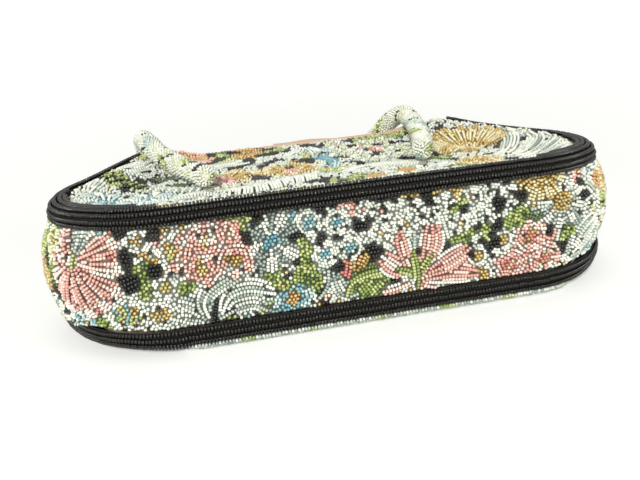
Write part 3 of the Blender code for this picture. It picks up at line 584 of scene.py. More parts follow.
PAINT = {
    "w": ("#ECEEDF", 0.0), "v": ("#D9DECF", 0.0), "g": ("#B9C2B4", 0.05), "s": ("#94A096", 0.15),
    "p": ("#DBA999", 0.0), "q": ("#F0D3C4", 0.0), "r": ("#C27B6E", 0.0), "m": ("#E4B49C", 0.0),
    "o": ("#D0A168", 0.1), "y": ("#C6AB67", 0.2), "a": ("#A98C4C", 0.2), "h": ("#E2D6A8", 0.1),
    "l": ("#8B9C51", 0.0), "k": ("#B8C27D", 0.0), "d": ("#57683B", 0.0), "e": ("#DADFB4", 0.0),
    "b": ("#7FA9AC", 0.0), "n": ("#C4D8D2", 0.0), "t": ("#5C97A3", 0.0),
    "x": ("#100E08", 0.0), "z": ("#2B241C", 0.0),
}
# What a bead squeezed in between two rows may be instead: mostly a shade darker, painted as the shade between the
# rows. Clusters take it for beads that are darker at random
SHADED = {"w": "wvgx", "v": "vgx", "g": "gsx", "p": "ppr", "q": "qp", "y": "ya", "h": "hy", "l": "ld", "k": "kl"}
LINEAR_PAINT = {key: np.array([*linear(code)[:3], lined]) for key, (code, lined) in PAINT.items()}
# Steps of the grid of allowed places, of the cells that beads are looked up in, and of the map of tints
MASK_STEP, CELL, TINT_CELL = 0.25, 2, 3
# Least distance between beads: within a row, to other rows, and in a flower's rings
IN_ROW, APART, IN_RING = 1.2, 1.5, 1.62
# Room that a floret needs between the motifs, and the distance of the beads of its petals from their middles
FLORET, CLUSTER = 5.2, 1.5
# Flowers smaller than this are made of clusters, not of rows; how often a bead of a cluster is a shade darker
LEAST_ROWED, DARKER = 7.3, 0.4
# A petal: how much shorter its side rows are, and how wide its foot is. A leaf: how far its rows lean ahead
PETAL_ROUND, PETAL_FOOT, LEAF_LEAN = 0.42, 0.12, 0.8
# Filling: the grid of places, the rounds as room that a bead needs, how near the next bead has to be and how many
# beads follow it, and how far away a bead's neighbour may be
FILL_STEP, NEIGHBOUR = 0.45, 2.5
FILL_ROUNDS = ((1.62, 2.05, 5), (1.62, None, 5), (1.47, 2.4, 2), (1.36, 2.4, 0))


def grid_cell(u, v, size=CELL):
    return int(u // size), int(v // size)


def vary(value, share, random, count=None):
    """A value, or count of them, made up to a share larger or smaller."""
    return value * (1.0 + share * random.uniform(-1, 1, count))


class Layout:
    """Beads laid on one flat pattern piece, none nearer another than the beads allow."""

    def __init__(self, allowed, seed):
        self.low = np.array([-HALF_RUN - 2.0, BASE_Y - 2.0])
        across = np.arange(self.low[0], HALF_RUN + 2.0, MASK_STEP)
        self.mask = allowed(*np.meshgrid(across, np.arange(self.low[1], MOUTH_Y + 2.0, MASK_STEP), indexing="ij"))
        self.random = np.random.default_rng(seed)
        self.cells = {}
        self.rows = []
        self.stroke = 0

    def inside(self, u, v):
        i, j = int((u - self.low[0]) / MASK_STEP), int((v - self.low[1]) / MASK_STEP)
        return 0 <= i < self.mask.shape[0] and 0 <= j < self.mask.shape[1] and bool(self.mask[i, j])

    def near_beads(self, u, v, reach):
        """The beads in the cells round a place, reach cells each way."""
        cu, cv = grid_cell(u, v)
        for i in range(cu - reach, cu + reach + 1):
            for j in range(cv - reach, cv + reach + 1):
                yield from self.cells.get((i, j), ())

    def free(self, u, v, room):
        for a, b, stroke in self.near_beads(u, v, 1):
            near = IN_ROW if stroke == self.stroke else room
            if (a - u) ** 2 + (b - v) ** 2 < near * near:
                return False
        return True

    def put(self, u, v, turn, paint, lift=0.0, room=APART):
        if not self.inside(u, v) or not self.free(u, v, room):
            return False
        self.cells.setdefault(grid_cell(u, v), []).append((u, v, self.stroke))
        self.rows.append((float(u), float(v), turn, paint, lift))
        return True

    def row(self, points, paints, lift=0.0):
        """Threads beads along a line of points. paints is a string that is spread over the row."""
        self.stroke += 1
        points = np.asarray(points, float)
        legs = np.hypot(*np.diff(points, axis=0).T)
        total = legs.sum()
        count = max(int(total / BEAD_LONG), 1)
        runs = np.concatenate([[0], np.cumsum(legs)])
        for i in range(count):
            at = (i + 0.5) * total / count
            leg = min(int(np.searchsorted(runs, at, side="right")) - 1, len(legs) - 1)
            share = (at - runs[leg]) / max(legs[leg], 1e-6)
            u, v = points[leg] + (points[leg + 1] - points[leg]) * share
            turn = math.atan2(*(points[leg + 1] - points[leg])[::-1])
            paint = paints[min(int(len(paints) * (i + 0.5) / count), len(paints) - 1)]
            self.put(u, v, turn, paint, lift * math.sin(math.pi * (i + 0.5) / count) ** 0.5)

    # ---- motifs

    def petal(self, u, v, angle, near, far, rows, paints, bend=0.0, lift=0.5, widest=0.62):
        """A petal of rows side by side, from near to far from (u, v). paints goes from its middle row outwards."""
        wide_at = near + (far - near) * widest
        for k in sorted(range(rows), key=lambda k: abs(k - (rows - 1) / 2)):
            off = (k - (rows - 1) / 2) * ROW
            share = abs(off) / max(rows * ROW / 2, 1e-6)
            end = far - (far - near) * PETAL_ROUND * share ** 2
            line = []
            first = near + 0.7 * (k % 2)
            for step in range(9):
                reach = first + (end - first) * step / 8
                side = off * min(1.0, max(reach / wide_at, PETAL_FOOT))
                turn = angle + bend * (reach - near) / max(far, 1.0)
                line.append((u + reach * math.cos(turn) - side * math.sin(turn),
                             v + reach * math.sin(turn) + side * math.cos(turn)))
            self.row(line, paints[int(abs(off) / ROW + 0.5) % len(paints)], lift * (1.0 - share ** 2))

    def centre(self, u, v, inner, ring, size=1, lift=0.7):
        """A bead with rings of beads round it."""
        self.stroke += 1
        self.put(u, v, 0.0, inner, lift)
        for ring_index in range(size):
            radius = BEAD * (ring_index + 1)
            count = int(2 * math.pi * radius / IN_RING)
            self.stroke += 1
            for i in range(count):
                angle = 2 * math.pi * i / count + ring_index
                self.put(u + radius * math.cos(angle), v + radius * math.sin(angle), angle + math.pi / 2,
                         ring[(ring_index * 3 + i) % len(ring)], lift * 0.7)

    def bloom(self, u, v, reach, petals, paints, inner, ring, size=1, start=0.0, span=360.0, lift=0.6):
        """A flower whose petals fill its round, or a span of it in degrees."""
        self.centre(u, v, inner, ring, size)
        if reach < LEAST_ROWED and size < 2:
            self.clusters(u, v, reach, petals, paints, RAD(start), RAD(span), lift)
            return
        near = BEAD * size + 1.5
        step = RAD(span) / petals
        for i in range(petals):
            far = vary(reach, 0.07, self.random)
            wide = 2.0 * (near + 0.62 * (far - near)) * math.tan(min(step, 1.4) / 2)
            rows = max(int(round((wide - 0.8) / ROW)), 1)
            self.petal(u, v, RAD(start) + step * (i + 0.5), near, far, rows, paints[i % len(paints)], lift=lift)

    def clusters(self, u, v, reach, petals, paints, start, span, lift):
        """Petals of a small flower: a round cluster of beads each."""
        for i in range(petals):
            angle = start + span * (i + 0.5) / petals
            a, b = u + 0.6 * reach * math.cos(angle), v + 0.6 * reach * math.sin(angle)
            hues = paints[i % len(paints)]
            self.stroke += 1
            self.put(a, b, angle, hues[0][0], lift)
            for k in range(6):
                turn = angle + math.pi * (k + 0.5) / 3
                hue = hues[min(1, len(hues) - 1)] if k in (2, 3) else hues[0]
                hue = SHADED.get(hue[-1], hue) if self.random.random() < DARKER else hue
                lean = angle + self.random.uniform(-0.6, 0.6)
                self.put(a + CLUSTER * math.cos(turn), b + CLUSTER * math.sin(turn), lean, self.pick(hue),
                         lift * 0.5)

    def pick(self, paints):
        return paints[self.random.integers(len(paints))]

    def leaf(self, u, v, degrees, length, rows, paints, lift=0.4):
        """A leaf of slanting rows on both sides of a midrib, which points in a direction in degrees."""
        ahead = np.array([math.cos(RAD(degrees)), math.sin(RAD(degrees))])
        side = np.array([-ahead[1], ahead[0]])
        foot = np.array([u, v]) - ahead * length / 2
        count = int(length / ROW)
        half = rows * ROW / 2
        for i in range(count):
            share = (i + 0.5) / count
            wide = half * math.sin(math.pi * min(share * 0.9 + 0.12, 1.0)) ** 0.6
            spine = foot + ahead * length * share
            lean = ahead * wide * LEAF_LEAN
            self.row([spine - side * wide + lean, spine, spine + side * wide + lean], paints[i % len(paints)], lift)

    def patch(self, u, v, reach, paints="x", squash=1.0, angle=0.0):
        """A plain patch of ground beads in short rows."""
        steps = int(reach / ROW) + 1
        for k in range(-steps, steps + 1):
            off = k * ROW
            if abs(off) > reach * squash:
                continue
            half = reach * math.sqrt(max(1.0 - (off / (reach * squash)) ** 2, 0.05))
            line = []
            for end in (-half, half):
                line.append((u + end * math.cos(angle) - off * math.sin(angle),
                             v + end * math.sin(angle) + off * math.cos(angle)))
            self.row(line, paints, 0.0)

    def patches(self, reach, *spots):
        for spot in spots:
            self.patch(*spot, reach)

    def plume(self, line, width, paints, lift=0.8):
        """Long rows side by side that follow a line of points and taper at both ends."""
        fine = smooth_line(np.asarray(line, float), 24)
        ahead = np.gradient(fine, axis=0)
        ahead /= np.maximum(np.hypot(*ahead.T), 1e-6)[:, None]
        side = np.stack([-ahead[:, 1], ahead[:, 0]], -1)
        rows = max(int(round(width / ROW)), 1)
        taper = np.clip(np.sin(math.pi * (np.linspace(0, 1, len(fine)) * 0.84 + 0.04)), 0.1, 1.0) ** 0.7
        for k in sorted(range(rows), key=lambda k: abs(k - (rows - 1) / 2)):
            off = (k - (rows - 1) / 2) * ROW
            edge = abs(off) / (rows * ROW / 2)
            cut = len(fine) - int(5 * edge ** 2)
            line = fine[:cut] + side[:cut] * (off * taper[:cut])[:, None]
            self.row(line, paints[k % len(paints)], lift * (1.0 - edge ** 2))

    def ribs(self, line, width, paints, lift=1.2):
        """Short rows laid across a line of points, as on a padded stem or tube."""
        fine = smooth_line(np.asarray(line, float), 60)
        legs = np.concatenate([[0], np.cumsum(np.hypot(*np.diff(fine, axis=0).T))])
        count = int(legs[-1] / ROW)
        for i in range(count):
            at = (i + 0.5) * legs[-1] / count
            k = min(max(int(np.searchsorted(legs, at)), 1), len(fine) - 1)
            ahead = fine[k] - fine[k - 1]
            ahead /= max(np.hypot(*ahead), 1e-6)
            half = width / 2 * (0.7 + 0.3 * math.sin(math.pi * (i + 0.5) / count))
            side, lean = np.array([-ahead[1], ahead[0]]) * half, ahead * half * 0.35
            self.row([fine[k] - side - lean, fine[k], fine[k] + side - lean], paints[i % len(paints)], lift)

    def nearest(self, u, v, reach):
        """The bead nearest to a place, as its thread direction and paint."""
        best, found = reach * reach, None
        for a, b, _ in self.near_beads(u, v, 2):
            gap = (a - u) ** 2 + (b - v) ** 2
            if gap < best:
                best, found = gap, (a, b)
        return None if found is None else self.known[found]

    def fill(self, low, high, tints):
        """Fills what is left: florets where there is room for them, then beads that carry on their neighbours."""
        lines = (np.arange(a, b, FILL_STEP) for a, b in zip(low, high))
        spots = np.stack(np.meshgrid(*lines), -1).reshape(-1, 2)
        self.random.shuffle(spots)
        spots = [tuple(s) for s in spots.tolist() if self.inside(*s)]
        for u, v in spots:
            self.stroke += 1
            if self.free(u, v, FLORET):
                paints, inner, _ = tints(u, v)
                self.bloom(u, v, FLORET, 5, (paints,), self.pick(inner), "y", 0, self.random.uniform(0, 360))
        self.known = {(r[0], r[1]): (r[2], r[3]) for r in self.rows}
        for room, reach, most in FILL_ROUNDS:
            for u, v in spots:
                if self.free(u, v, room):
                    near = self.nearest(u, v, reach or NEIGHBOUR)
                    if near is None and reach:
                        continue
                    ground = tints(u, v)[2]
                    turn, paint = near or (self.random.uniform(0, math.pi), self.pick(ground))
                    shade = self.pick(SHADED.get(paint, paint))
                    self.thread(u, v, turn, shade, room, most if paint != "x" else 1)

    def thread(self, u, v, turn, paint, room, most):
        """Carries a row on both ways from a place, as far as there is room for it."""
        self.stroke += 1
        if not self.put(u, v, turn, paint, 0.0, room):
            return
        self.known[(u, v)] = (turn, paint)
        for way in (1.0, -1.0):
            a, b = u, v
            for _ in range(most):
                a += way * BEAD_LONG * math.cos(turn)
                b += way * BEAD_LONG * math.sin(turn)
                if not self.put(a, b, turn, paint, 0.0, room):
                    break
                self.known[(a, b)] = (turn, paint)

    def tint_map(self, u, v):
        """Mean colour of the beads near each place, for the cloth under them."""
        table = {}
        for a, b, _, paint, _ in self.rows:
            table.setdefault(grid_cell(a, b, TINT_CELL), []).append(LINEAR_PAINT[paint][:3])
        mean = {key: np.mean(value, 0) for key, value in table.items()}
        plain = np.mean(list(mean.values()), 0)
        return np.array([mean.get(grid_cell(a, b, TINT_CELL), plain) for a, b in zip(u, v)])

    def beads(self, point, flip, pick):
        """Arrays of the beads whose place passes pick, standing on a surface."""
        rows = [r for r in self.rows if pick(r[0], r[1])]
        u, v, turn, lift = (np.array([r[i] for r in rows], float) for i in (0, 1, 2, 4))
        count = len(rows)
        wide = vary(BEAD, 0.05, self.random, count)
        centre, along, up = on_surface(point, u, v, turn, flip, wide / 2 - lift)
        paint = np.array([LINEAR_PAINT[r[3]] for r in rows])
        paint[:, :3] *= vary(1.0, 0.09, self.random, count)[:, None]
        long = BEAD_LONG * (1.04 + 0.05 * self.random.uniform(-1, 1, count))
        return bead_set(centre, along, up, wide, long, np.clip(paint, 0.0, 0.95))


def smooth_line(points, count):
    """A smooth curve through points, evenly cut."""
    points = np.asarray(points, float)
    ends = np.vstack([2 * points[0] - points[1], points, 2 * points[-1] - points[-2]])
    fine = []
    for a, b, c, d in zip(ends, ends[1:], ends[2:], ends[3:]):
        for step in range(12):
            t = step / 12
            fine.append(b + ((c - a) * t + (2 * a - 5 * b + 4 * c - d) * t ** 2
                             + (3 * b - a - 3 * c + d) * t ** 3) / 2)
    fine.append(points[-1])
    fine = np.array(fine)
    runs = np.concatenate([[0], np.cumsum(np.linalg.norm(np.diff(fine, axis=0), axis=1))])
    at = np.linspace(0, runs[-1], count)
    return np.stack([np.interp(at, runs, fine[:, k]) for k in range(points.shape[1])], -1)


# ---------------------------------------------------------------- the beadwork pattern

def in_band(u, v):
    edge = TRIM_ON_GUSSET + 0.5 - LAP_ON_GUSSET
    over_low = edge - LEFT_LAP * left_end(u) < v
    return over_low & (v < band_height(u) - edge) & (np.abs(u) < HALF_RUN - HEM_WIDTH - 1.2)


def in_panel(u, v):
    return (edge_distance(u, v) > PANEL_INSET + 0.9) & (v < MOUTH_Y - HEM_WIDTH - 0.9)


def in_front(u, v):
    """Inside the front panel, where its beads lap over the trim but not where the trim is drawn in."""
    run = run_of(np.stack([u, v], -1).reshape(-1, 2)).reshape(u.shape)
    covered = TRIM_DRAWN_IN * drawn_in(run) - panel_lap(run)
    hem = np.where(u < HEM_SHOWS_FROM, 0.2, HEM_WIDTH)
    return (edge_distance(u, v) > PANEL_INSET + 0.6 + covered) & (v < MOUTH_Y - hem - 0.9)


def band_tints(u, v):
    """Petal rows, centres and ground beads between the motifs of the gusset."""
    wave = math.sin(u * 0.11) + math.sin(v * 0.23 + u * 0.05)
    if u < -140:
        return ("w", "k"), "ky", "kexxe"
    if wave > 1.1:
        return ("k", "l"), "yx", "xlkxx"
    if wave < -1.1:
        return ("q", "p"), "y", "xxxwx"
    return ("w", "v"), "yyb", "xxxwxx"


def front_tints(u, v):
    wave = math.sin(u * 0.13 + 1.0) + math.sin(v * 0.19 + u * 0.04)
    if wave > 1.2:
        return ("k", "e"), "yw", "xlkxw"
    return ("v", "w"), "hev", "xgxvx"


WHITE = (("w", "v", "w"), ("v", "w", "g"))
CREAM = (("v", "w", "g"), ("v", "e", "g"))
STRIPED = (("w", "wv", "sg", "s"), ("wv", "vw", "gs", "s"))
SALMON = (("p", "q", "w"), ("q", "p", "q"), ("p", "pq", "w"))
GOLD = (("yyh", "hyh", "yh"), ("ayh", "yhh", "yh"))
GREEN, LIGHT_GREEN, YELLOW_GREEN = ("lkl", "dlk", "kld"), ("klk", "lkd"), ("lkl", "klk")
GREY_STRIPES, THREE_STRIPES = ("wvw", "gsg", "wvw", "sgs"), ("wvw", "gsg", "wvw")
PALE_STRIPES = ("wvw", "gwg", "wvw", "vwv")
BLUE_STRIPES, ICE, GOLDEN = ("wvw", "nwn", "wvw", "gwg", "wvw"), ("n", "w", "b"), ("yyh", "hyh", "yah")


def band_pattern():
    """Gusset: what the photo shows from the left end past the base, then the same kinds of flower to the mouth."""
    lay = Layout(in_band, 11)
    lily(lay)
    band_left(lay)
    band_middle(lay)
    band_right(lay)
    carry_on(lay, (131, 9), (252, 46), 7)
    carry_on(lay, (-252, 9), (-148, 44), 8, ("k", "e"))
    lay.fill((-HALF_RUN, 5.5), (HALF_RUN, 53), band_tints)
    return lay


def several(motif, *rows):
    """Draws one kind of motif once for each row of its values."""
    for row in rows:
        motif(*row)


def band_left(lay):
    # great pink flower at the left corner, with a pale throat and one grey petal
    lay.plume(((-122, 34), (-122, 37), (-121, 41)), 3.8, ("k", "w"), 0.8)
    pink = (("ppq", "qqw", "ppq", "qw"), ("ppq", "qqw", "pp", "qqw", "pq"))
    lay.petal(-122, 37, RAD(62), 3.0, 15, 5, ("gwg", "wsw", "gsg"), 0.3)
    for angle, reach, rows in ((-4, 23, 8), (24, 24, 9), (-30, 24, 9), (-54, 25, 9), (-78, 26, 9), (-104, 25, 9),
                               (-135, 15, 8), (92, 17, 8), (118, 14, 7), (150, 10.5, 6), (-165, 11.5, 7),
                               (44, 17, 5)):
        lay.petal(-122, 37, RAD(angle), 3.0, reach, rows, pink[rows % 2], 0.0, 1.2, 1.0)
    lay.bloom(-122, 8.5, 6.5, 6, (("b", "n"), ("n", "w")), "y", "bn", 0)
    lay.leaf(-113, 10.5, 60, 7, 3, GREEN)
    for u, v, paints in ((-144, 25, GOLD), (-137, 43, (("e", "w", "k"),)), (-150, 37, (("k", "e", "w"),)),
                         (-158, 20, GOLD)):
        lay.bloom(u, v, 7.0, 5, paints, "a", "yk", 1, u)
    lay.leaf(-137, 29, 80, 9, 3, GREEN)
    lay.leaf(-147, 41, 60, 8, 3, LIGHT_GREEN)
    lay.patches(2.2, (-141, 34), (-146, 13), (-132, 12), (-132.5, 27), (-134.5, 20), (-153, 29))
    # dark ground and greens right of it
    several(lay.patch, (-97.5, 29, 5.2, "x", 0.9, 0.4), (-98, 40.5, 2.6), (-86, 34, 3.0), (-85, 48.5, 2.8))
    several(lay.leaf, (-91, 33.5, 30, 10, 4, GREEN), (-91.5, 24.5, 95, 8, 4, GREEN),
            (-75, 24.5, 15, 8, 3, GREEN))
    several(lay.bloom, (-92, 46.5, 6.8, 5, WHITE, "y", "ga", 1), (-88, 38.5, 6.8, 5, WHITE, "a", "yg", 1),
            (-83, 26, 6.2, 6, WHITE, "y", "ky", 1), (-100, 14, 10.5, 9, STRIPED, "b", "ybk", 2),
            (-87, 13.5, 9.5, 8, STRIPED, "s", "yay", 1), (-81, 50, 6.0, 5, WHITE, "y", "ag", 1))
    # salmon flowers
    several(lay.bloom, (-79, 41, 8.4, 5, SALMON, "h", "yky", 1, 20),
            (-65, 43.5, 8.4, 5, SALMON, "h", "wyw", 1, 50), (-53.5, 33, 7.8, 5, SALMON, "y", "aya", 1, 10),
            (-67.5, 31, 8.0, 5, SALMON, "y", "yhy", 1, 35), (-55, 45, 5.5, 5, SALMON, "h", "wqw", 0, 0))
    lay.patches(1.9, (-73, 45), (-62.5, 35.5), (-76, 32.5), (-80, 30))
    lay.leaf(-52, 49.5, 5, 11, 4, YELLOW_GREEN)
    lay.patch(-50.5, 42, 4.3, "x", 0.8)
    lay.patch(-44, 49.5, 2.4)


def band_middle(lay):
    # flower of five long striped petals that stands on the lower trim
    several(lay.plume,
            (((-67, 9), (-68.5, 16), (-65, 22), (-55, 27), (-46, 28)), 8.6,
             ("gwg", "sgs", "wgw", "sgs", "gwg"), 1.0),
            (((-62, 10), (-58, 18), (-49, 20), (-38, 16)), 9.6, ("wvw", "gsg", "wvw", "sgs", "wvw"), 1.2),
            (((-63, 8), (-56, 12), (-48, 13), (-42, 8.5)), 7.6, ("wvw", "gsg", "wvw", "gsg"), 0.9),
            (((-68, 8.5), (-71, 15), (-77, 19), (-82, 19)), 8.0, GREY_STRIPES, 1.0),
            (((-69, 8), (-75, 10), (-80, 12)), 6.0, THREE_STRIPES, 0.8))
    lay.leaf(-57.5, 9, 10, 6, 2, ("lk", "kl"))
    # white daisy with a blue centre
    lay.centre(-38.5, 39.5, "t", "btb", 1)
    for angle, reach in ((58, 12.5), (106, 12), (190, 10.5), (268, 14), (322, 14)):
        lay.petal(-38.5, 39.5, RAD(angle), 3.2, reach, 5, ("w", "wv", "s"), 0.0, 1.2)
    for angle in (20, 82, 148, 230, 295):
        lay.petal(-38.5, 39.5, RAD(angle), 5.0, 13.0, 2, ("g", "s"), 0.0, 0.3)
    lay.patch(-46, 22.5, 2.6)
    several(lay.leaf, (-43.5, 11, 70, 9, 3, GREEN), (-39.5, 24.5, 20, 8, 3, GREEN),
            (-36, 20, -30, 8, 3, ("kyk", "lkl")), (-26, 23.5, 35, 11, 5, GREEN),
            (-25, 32.5, 80, 9, 4, YELLOW_GREEN), (-21, 17.5, 150, 8, 3, GREEN))
    lay.bloom(-31, 12, 9.0, 9, (("bt", "bn", "n"), ("tb", "b", "n")), "y", "oyo", 1)
    for u, v, start in ((-22, 45, 0), (-10, 43.5, 20), (-16, 30.5, 40), (-5, 31.5, 10), (-29, 47.5, 60)):
        lay.bloom(u, v, 7.0, 6, WHITE, "t", "bbn", 1, start)
    lay.patches(2.3, (-17, 37.5), (-29, 37), (-10, 36.5), (-10.5, 24.5), (-1, 40.5), (5.5, 28), (-33, 50.5))
    lay.bloom(-6, 48.5, 4.4, 5, (("p", "q"),), "r", "p", 0)
    lay.plume(((-13, 22), (-11, 15), (-8, 9)), 7.6, ("gwg", "sgs", "wvw", "sgs"), 0.8)
    lay.plume(((-20, 10), (-16, 16), (-15, 23)), 5.8, THREE_STRIPES, 0.8)
    lay.patch(-17, 11, 2.2, "pq")
    lay.patch(-7, 13.5, 2.2, "pq")
    # white florets with pink and yellow eyes
    for u, v, inner in ((2, 47.5, "p"), (9.5, 45.5, "p"), (8, 36.5, "h"), (-2, 36.5, "h"), (13.5, 40, "w"),
                        (14.5, 30.5, "q"), (16.5, 45, "w"), (24, 44, "w"), (31, 39, "v"), (37, 45.5, "w"),
                        (44, 35.5, "h")):
        lay.bloom(u, v, 5.4, 5, WHITE, inner, "wv", 0, 30 * inner.count("w"))
    lay.patches(2.6, (16, 50.5), (0.5, 41.5), (11, 41), (6, 29.5), (35, 45), (45.5, 40.5), (29.5, 50), (3.5, 31))
    # gold bud on a curved stem
    lay.plume(((-3, 20.5), (-1, 25), (2, 30)), 6.6, ("ya", "ay", "yo"), 1.2)
    lay.plume(((-5.5, 22), (-4.5, 26), (-2, 30)), 2.6, ("pq",), 0.8)
    lay.leaf(3, 11, -10, 12, 5, GREEN)
    lay.patch(6.5, 27, 3.0)


def lily(lay):
    """Pink lily with a green calyx and stem."""
    for line in (((24, 6), (24, 12), (23.5, 18), (22, 27)), ((24, 13), (27, 18), (31, 23.5)),
                 ((24, 14), (19, 17), (14, 18.5))):
        lay.plume(line, 3.5, ("l", "k"), 1.2)
    for line, width, paints in (
            (((27.5, 20), (31, 28), (31.5, 37)), 12.2, ("w", "p", "q", "p", "q", "p", "w")),
            (((21, 19), (19, 26), (17, 36)), 7.0, ("w", "p", "q", "p")),
            (((20.5, 15.5), (14, 20.5), (8, 26)), 12.2, ("w", "p", "q", "w", "q", "p", "w")),
            (((29, 14.5), (39, 19), (49, 24)), 10.5, ("p", "q", "p", "q", "p", "w")),
            (((28, 11.5), (40, 12.5), (53, 10)), 10.5, ("w", "q", "p", "q", "p", "q")),
            (((27, 8.5), (36, 6.5), (45, 5.5)), 5.2, ("p", "q", "w")),
            (((21, 11), (14, 9.5), (8, 8.5)), 5.2, ("w", "q", "p"))):
        lay.plume(line, width, paints, 1.3)
    lay.plume(((-8, 9), (-6, 15), (2, 18.5), (15, 18.5)), 3.5, ("k", "l"), 0.9)


def band_right(lay):
    # salmon flowers and the leaf over them
    lay.leaf(70, 34, 25, 13, 5, GREEN)
    several(lay.bloom, (77, 25, 8.0, 5, SALMON, "r", "ryr", 1, 10),
            (68, 12.5, 8.0, 5, SALMON, "m", "rhr", 1, 50), (84.5, 13, 8.6, 5, SALMON, "r", "ryr", 1, 30))
    lay.patches(2.2, (86, 26), (94, 16.5), (76, 15), (71, 19))
    # gold flowers along the upper trim
    lay.bloom(23, 50.5, 6.4, 5, GOLD, "a", "ya", 0, 180, 180)
    lay.bloom(38, 51.5, 8.0, 7, GOLD, "a", "ya", 0, 180, 180)
    several(lay.leaf, (42.5, 44, 55, 9, 5, GREEN), (45, 29, 60, 9, 5, GREEN), (56, 30.5, 80, 5, 3, GREEN))
    lay.patches(2.5, (37.5, 25.5), (48, 21), (50.5, 4), (47.5, 25), (62, 32), (63, 41.5), (73.5, 43.5), (60, 24),
               (44, 12))
    for u, v, inner in ((52, 19, "y"), (64, 25, "y"), (55, 9.5, "y"), (53, 38, "v"), (60, 47, "w"), (68, 44, "v"),
                        (62, 36.5, "w"), (50.5, 46, "q"), (56, 42, "h"), (70, 38, "w"), (50, 30.5, "h"),
                        (60, 16, "w"), (71, 26, "h")):
        lay.bloom(u, v, 6.0, 5, WHITE, inner, "y" if inner == "y" else "wv", 1 if inner == "y" else 0, 40)
    # gold fringe hanging from the trim, daisy with a brown ring, striped petals at the right corner
    lay.bloom(82, 54, 14.5, 9, GOLD, "a", "ya", 0, 180, 180, lift=1.0)
    lay.bloom(93, 38.5, 12.5, 9, STRIPED, "s", "yay", 2, lift=0.9)
    lay.patch(104, 44, 2.4)
    lay.leaf(96.5, 23, 15, 8, 3, GREEN)
    lay.plume(((100, 14), (106, 22), (116, 27)), 8.6, GREY_STRIPES, 0.9)
    lay.plume(((100, 10), (109, 13), (117, 20)), 6.6, THREE_STRIPES, 0.9)
    several(lay.bloom, (118, 8, 8.0, 7, (ICE, ("w", "n", "g")), "n", "bn", 1),
            (119, 42, 3.9, 6, (("o", "m"),), "y", "o", 0), (112, 30, 8.0, 7, WHITE, "h", "kw", 1))
    lay.plume(((104, 46), (112, 42), (118, 34)), 7.0, ("wvw", "ege", "wvw", "gwg"), 0.8)
    lay.patch(112, 31, 2.2)


def carry_on(lay, low, high, seed, tint=None):
    """Carries the same kinds of flower on where the photo doesn't reach."""
    random = np.random.default_rng(seed)
    spots = []
    for _ in range(600):
        u, v = random.uniform(low, high)
        if lay.inside(u, v) and all(math.hypot(u - a, v - b) > 12.5 for a, b in spots):
            spots.append((u, v))
    for index, (u, v) in enumerate(spots):
        kind = index % 7
        turn = random.uniform(0, 360)
        if kind == 0:
            lay.bloom(u, v, 11.0, 7, STRIPED, "t", "btb", 2, turn, lift=0.9)
        elif kind == 1:
            lay.bloom(u, v, 8.4, 5, SALMON, "y", "yay", 1, turn)
        elif kind == 2:
            lay.leaf(u, v, turn, 13, 5, GREEN)
            lay.patch(u + 6, v - 3, 3.0)
        elif kind == 3:
            lay.bloom(u, v, 9.0, 9, GOLD, "a", "ya", 1, turn)
        elif kind == 4:
            lay.plume(((u - 10, v - 4), (u - 2, v + 2), (u + 10, v + 1)), 8.6, GREY_STRIPES, 1.0)
            lay.leaf(u + 7, v - 6, turn, 8, 3, GREEN)
        elif kind == 5:
            lay.bloom(u, v, 9.0, 7, STRIPED if tint is None else (tint,), "y", "aya", 1, turn)
        else:
            lay.bloom(u, v, 8.0, 6, WHITE, "b", "bn", 1, turn)
            lay.patch(u - 7, v + 4, 2.6)


def front_pattern():
    """Front panel: what the photo shows between the trim and the mouth, and its like to the sides."""
    lay = Layout(in_front, 12)
    front_left(lay)
    front_middle(lay)
    front_right(lay)
    carry_on(lay, (-118, -56), (118, -40), 21)
    lay.fill((-122, -60), (122, 66), front_tints)
    return lay


def front_left(lay):
    lay.bloom(-104, -11, 12.5, 8, (ICE, ("w", "n", "w")), "t", "bn", 1, lift=1.0)
    lay.bloom(-85, -9, 11.0, 8, (("w", "n", "w"), ICE), "b", "bn", 1, lift=1.0)
    lay.leaf(-99, 19, 120, 19, 7, ("kxl", "lxk", "xlx"), lift=0.8)
    lay.leaf(-90, 14, 140, 14, 5, ("kxk", "xld"), lift=0.8)
    lay.patch(-96, 8, 2.6)
    lay.patch(-88, 21, 4.0, "x", 0.5, 2.2)
    lay.plume(((-112, 0), (-109, 10), (-106, 20)), 7.6, ("wvw", "wgw", "wvw", "vwv"), 1.0)
    lay.plume(((-115, -24), (-106, -26), (-96, -24)), 5.7, ("wvw", "gwg", "wvw"), 1.0)
    lay.bloom(-110, -36, 7.0, 6, (("o", "m", "y"),), "y", "oy", 1)
    lay.bloom(-96, -36, 6.5, 6, WHITE, "y", "k", 0)
    lay.patch(-103, -40, 3.0)
    lay.patch(-88, -33, 2.6)
    lay.leaf(-79, -27, 10, 9, 3, GREEN)
    # crescent petal below the handle's left foot, and above it dark beads: leaves, and painted shadow under the
    # handle
    lay.ribs(((-92, 32), (-86, 14), (-74, 2), (-60, -4)), 9.5, ("wvw", "gvg", "wgw", "svs"), 1.4)
    lay.plume(((-100, 34), (-90, 40), (-82, 50)), 8.6, PALE_STRIPES, 1.0)
    lay.patch(-80, 24, 3.4, "zd", 1.4, 0.6)
    lay.patch(-70, 12, 3.4, "d", 1.2, 0.6)
    lay.plume(((-74, -14), (-62, -12), (-50, -13)), 9.5, BLUE_STRIPES, 1.2)
    lay.bloom(-62, -28, 8.0, 6, WHITE, "y", "yk", 1)


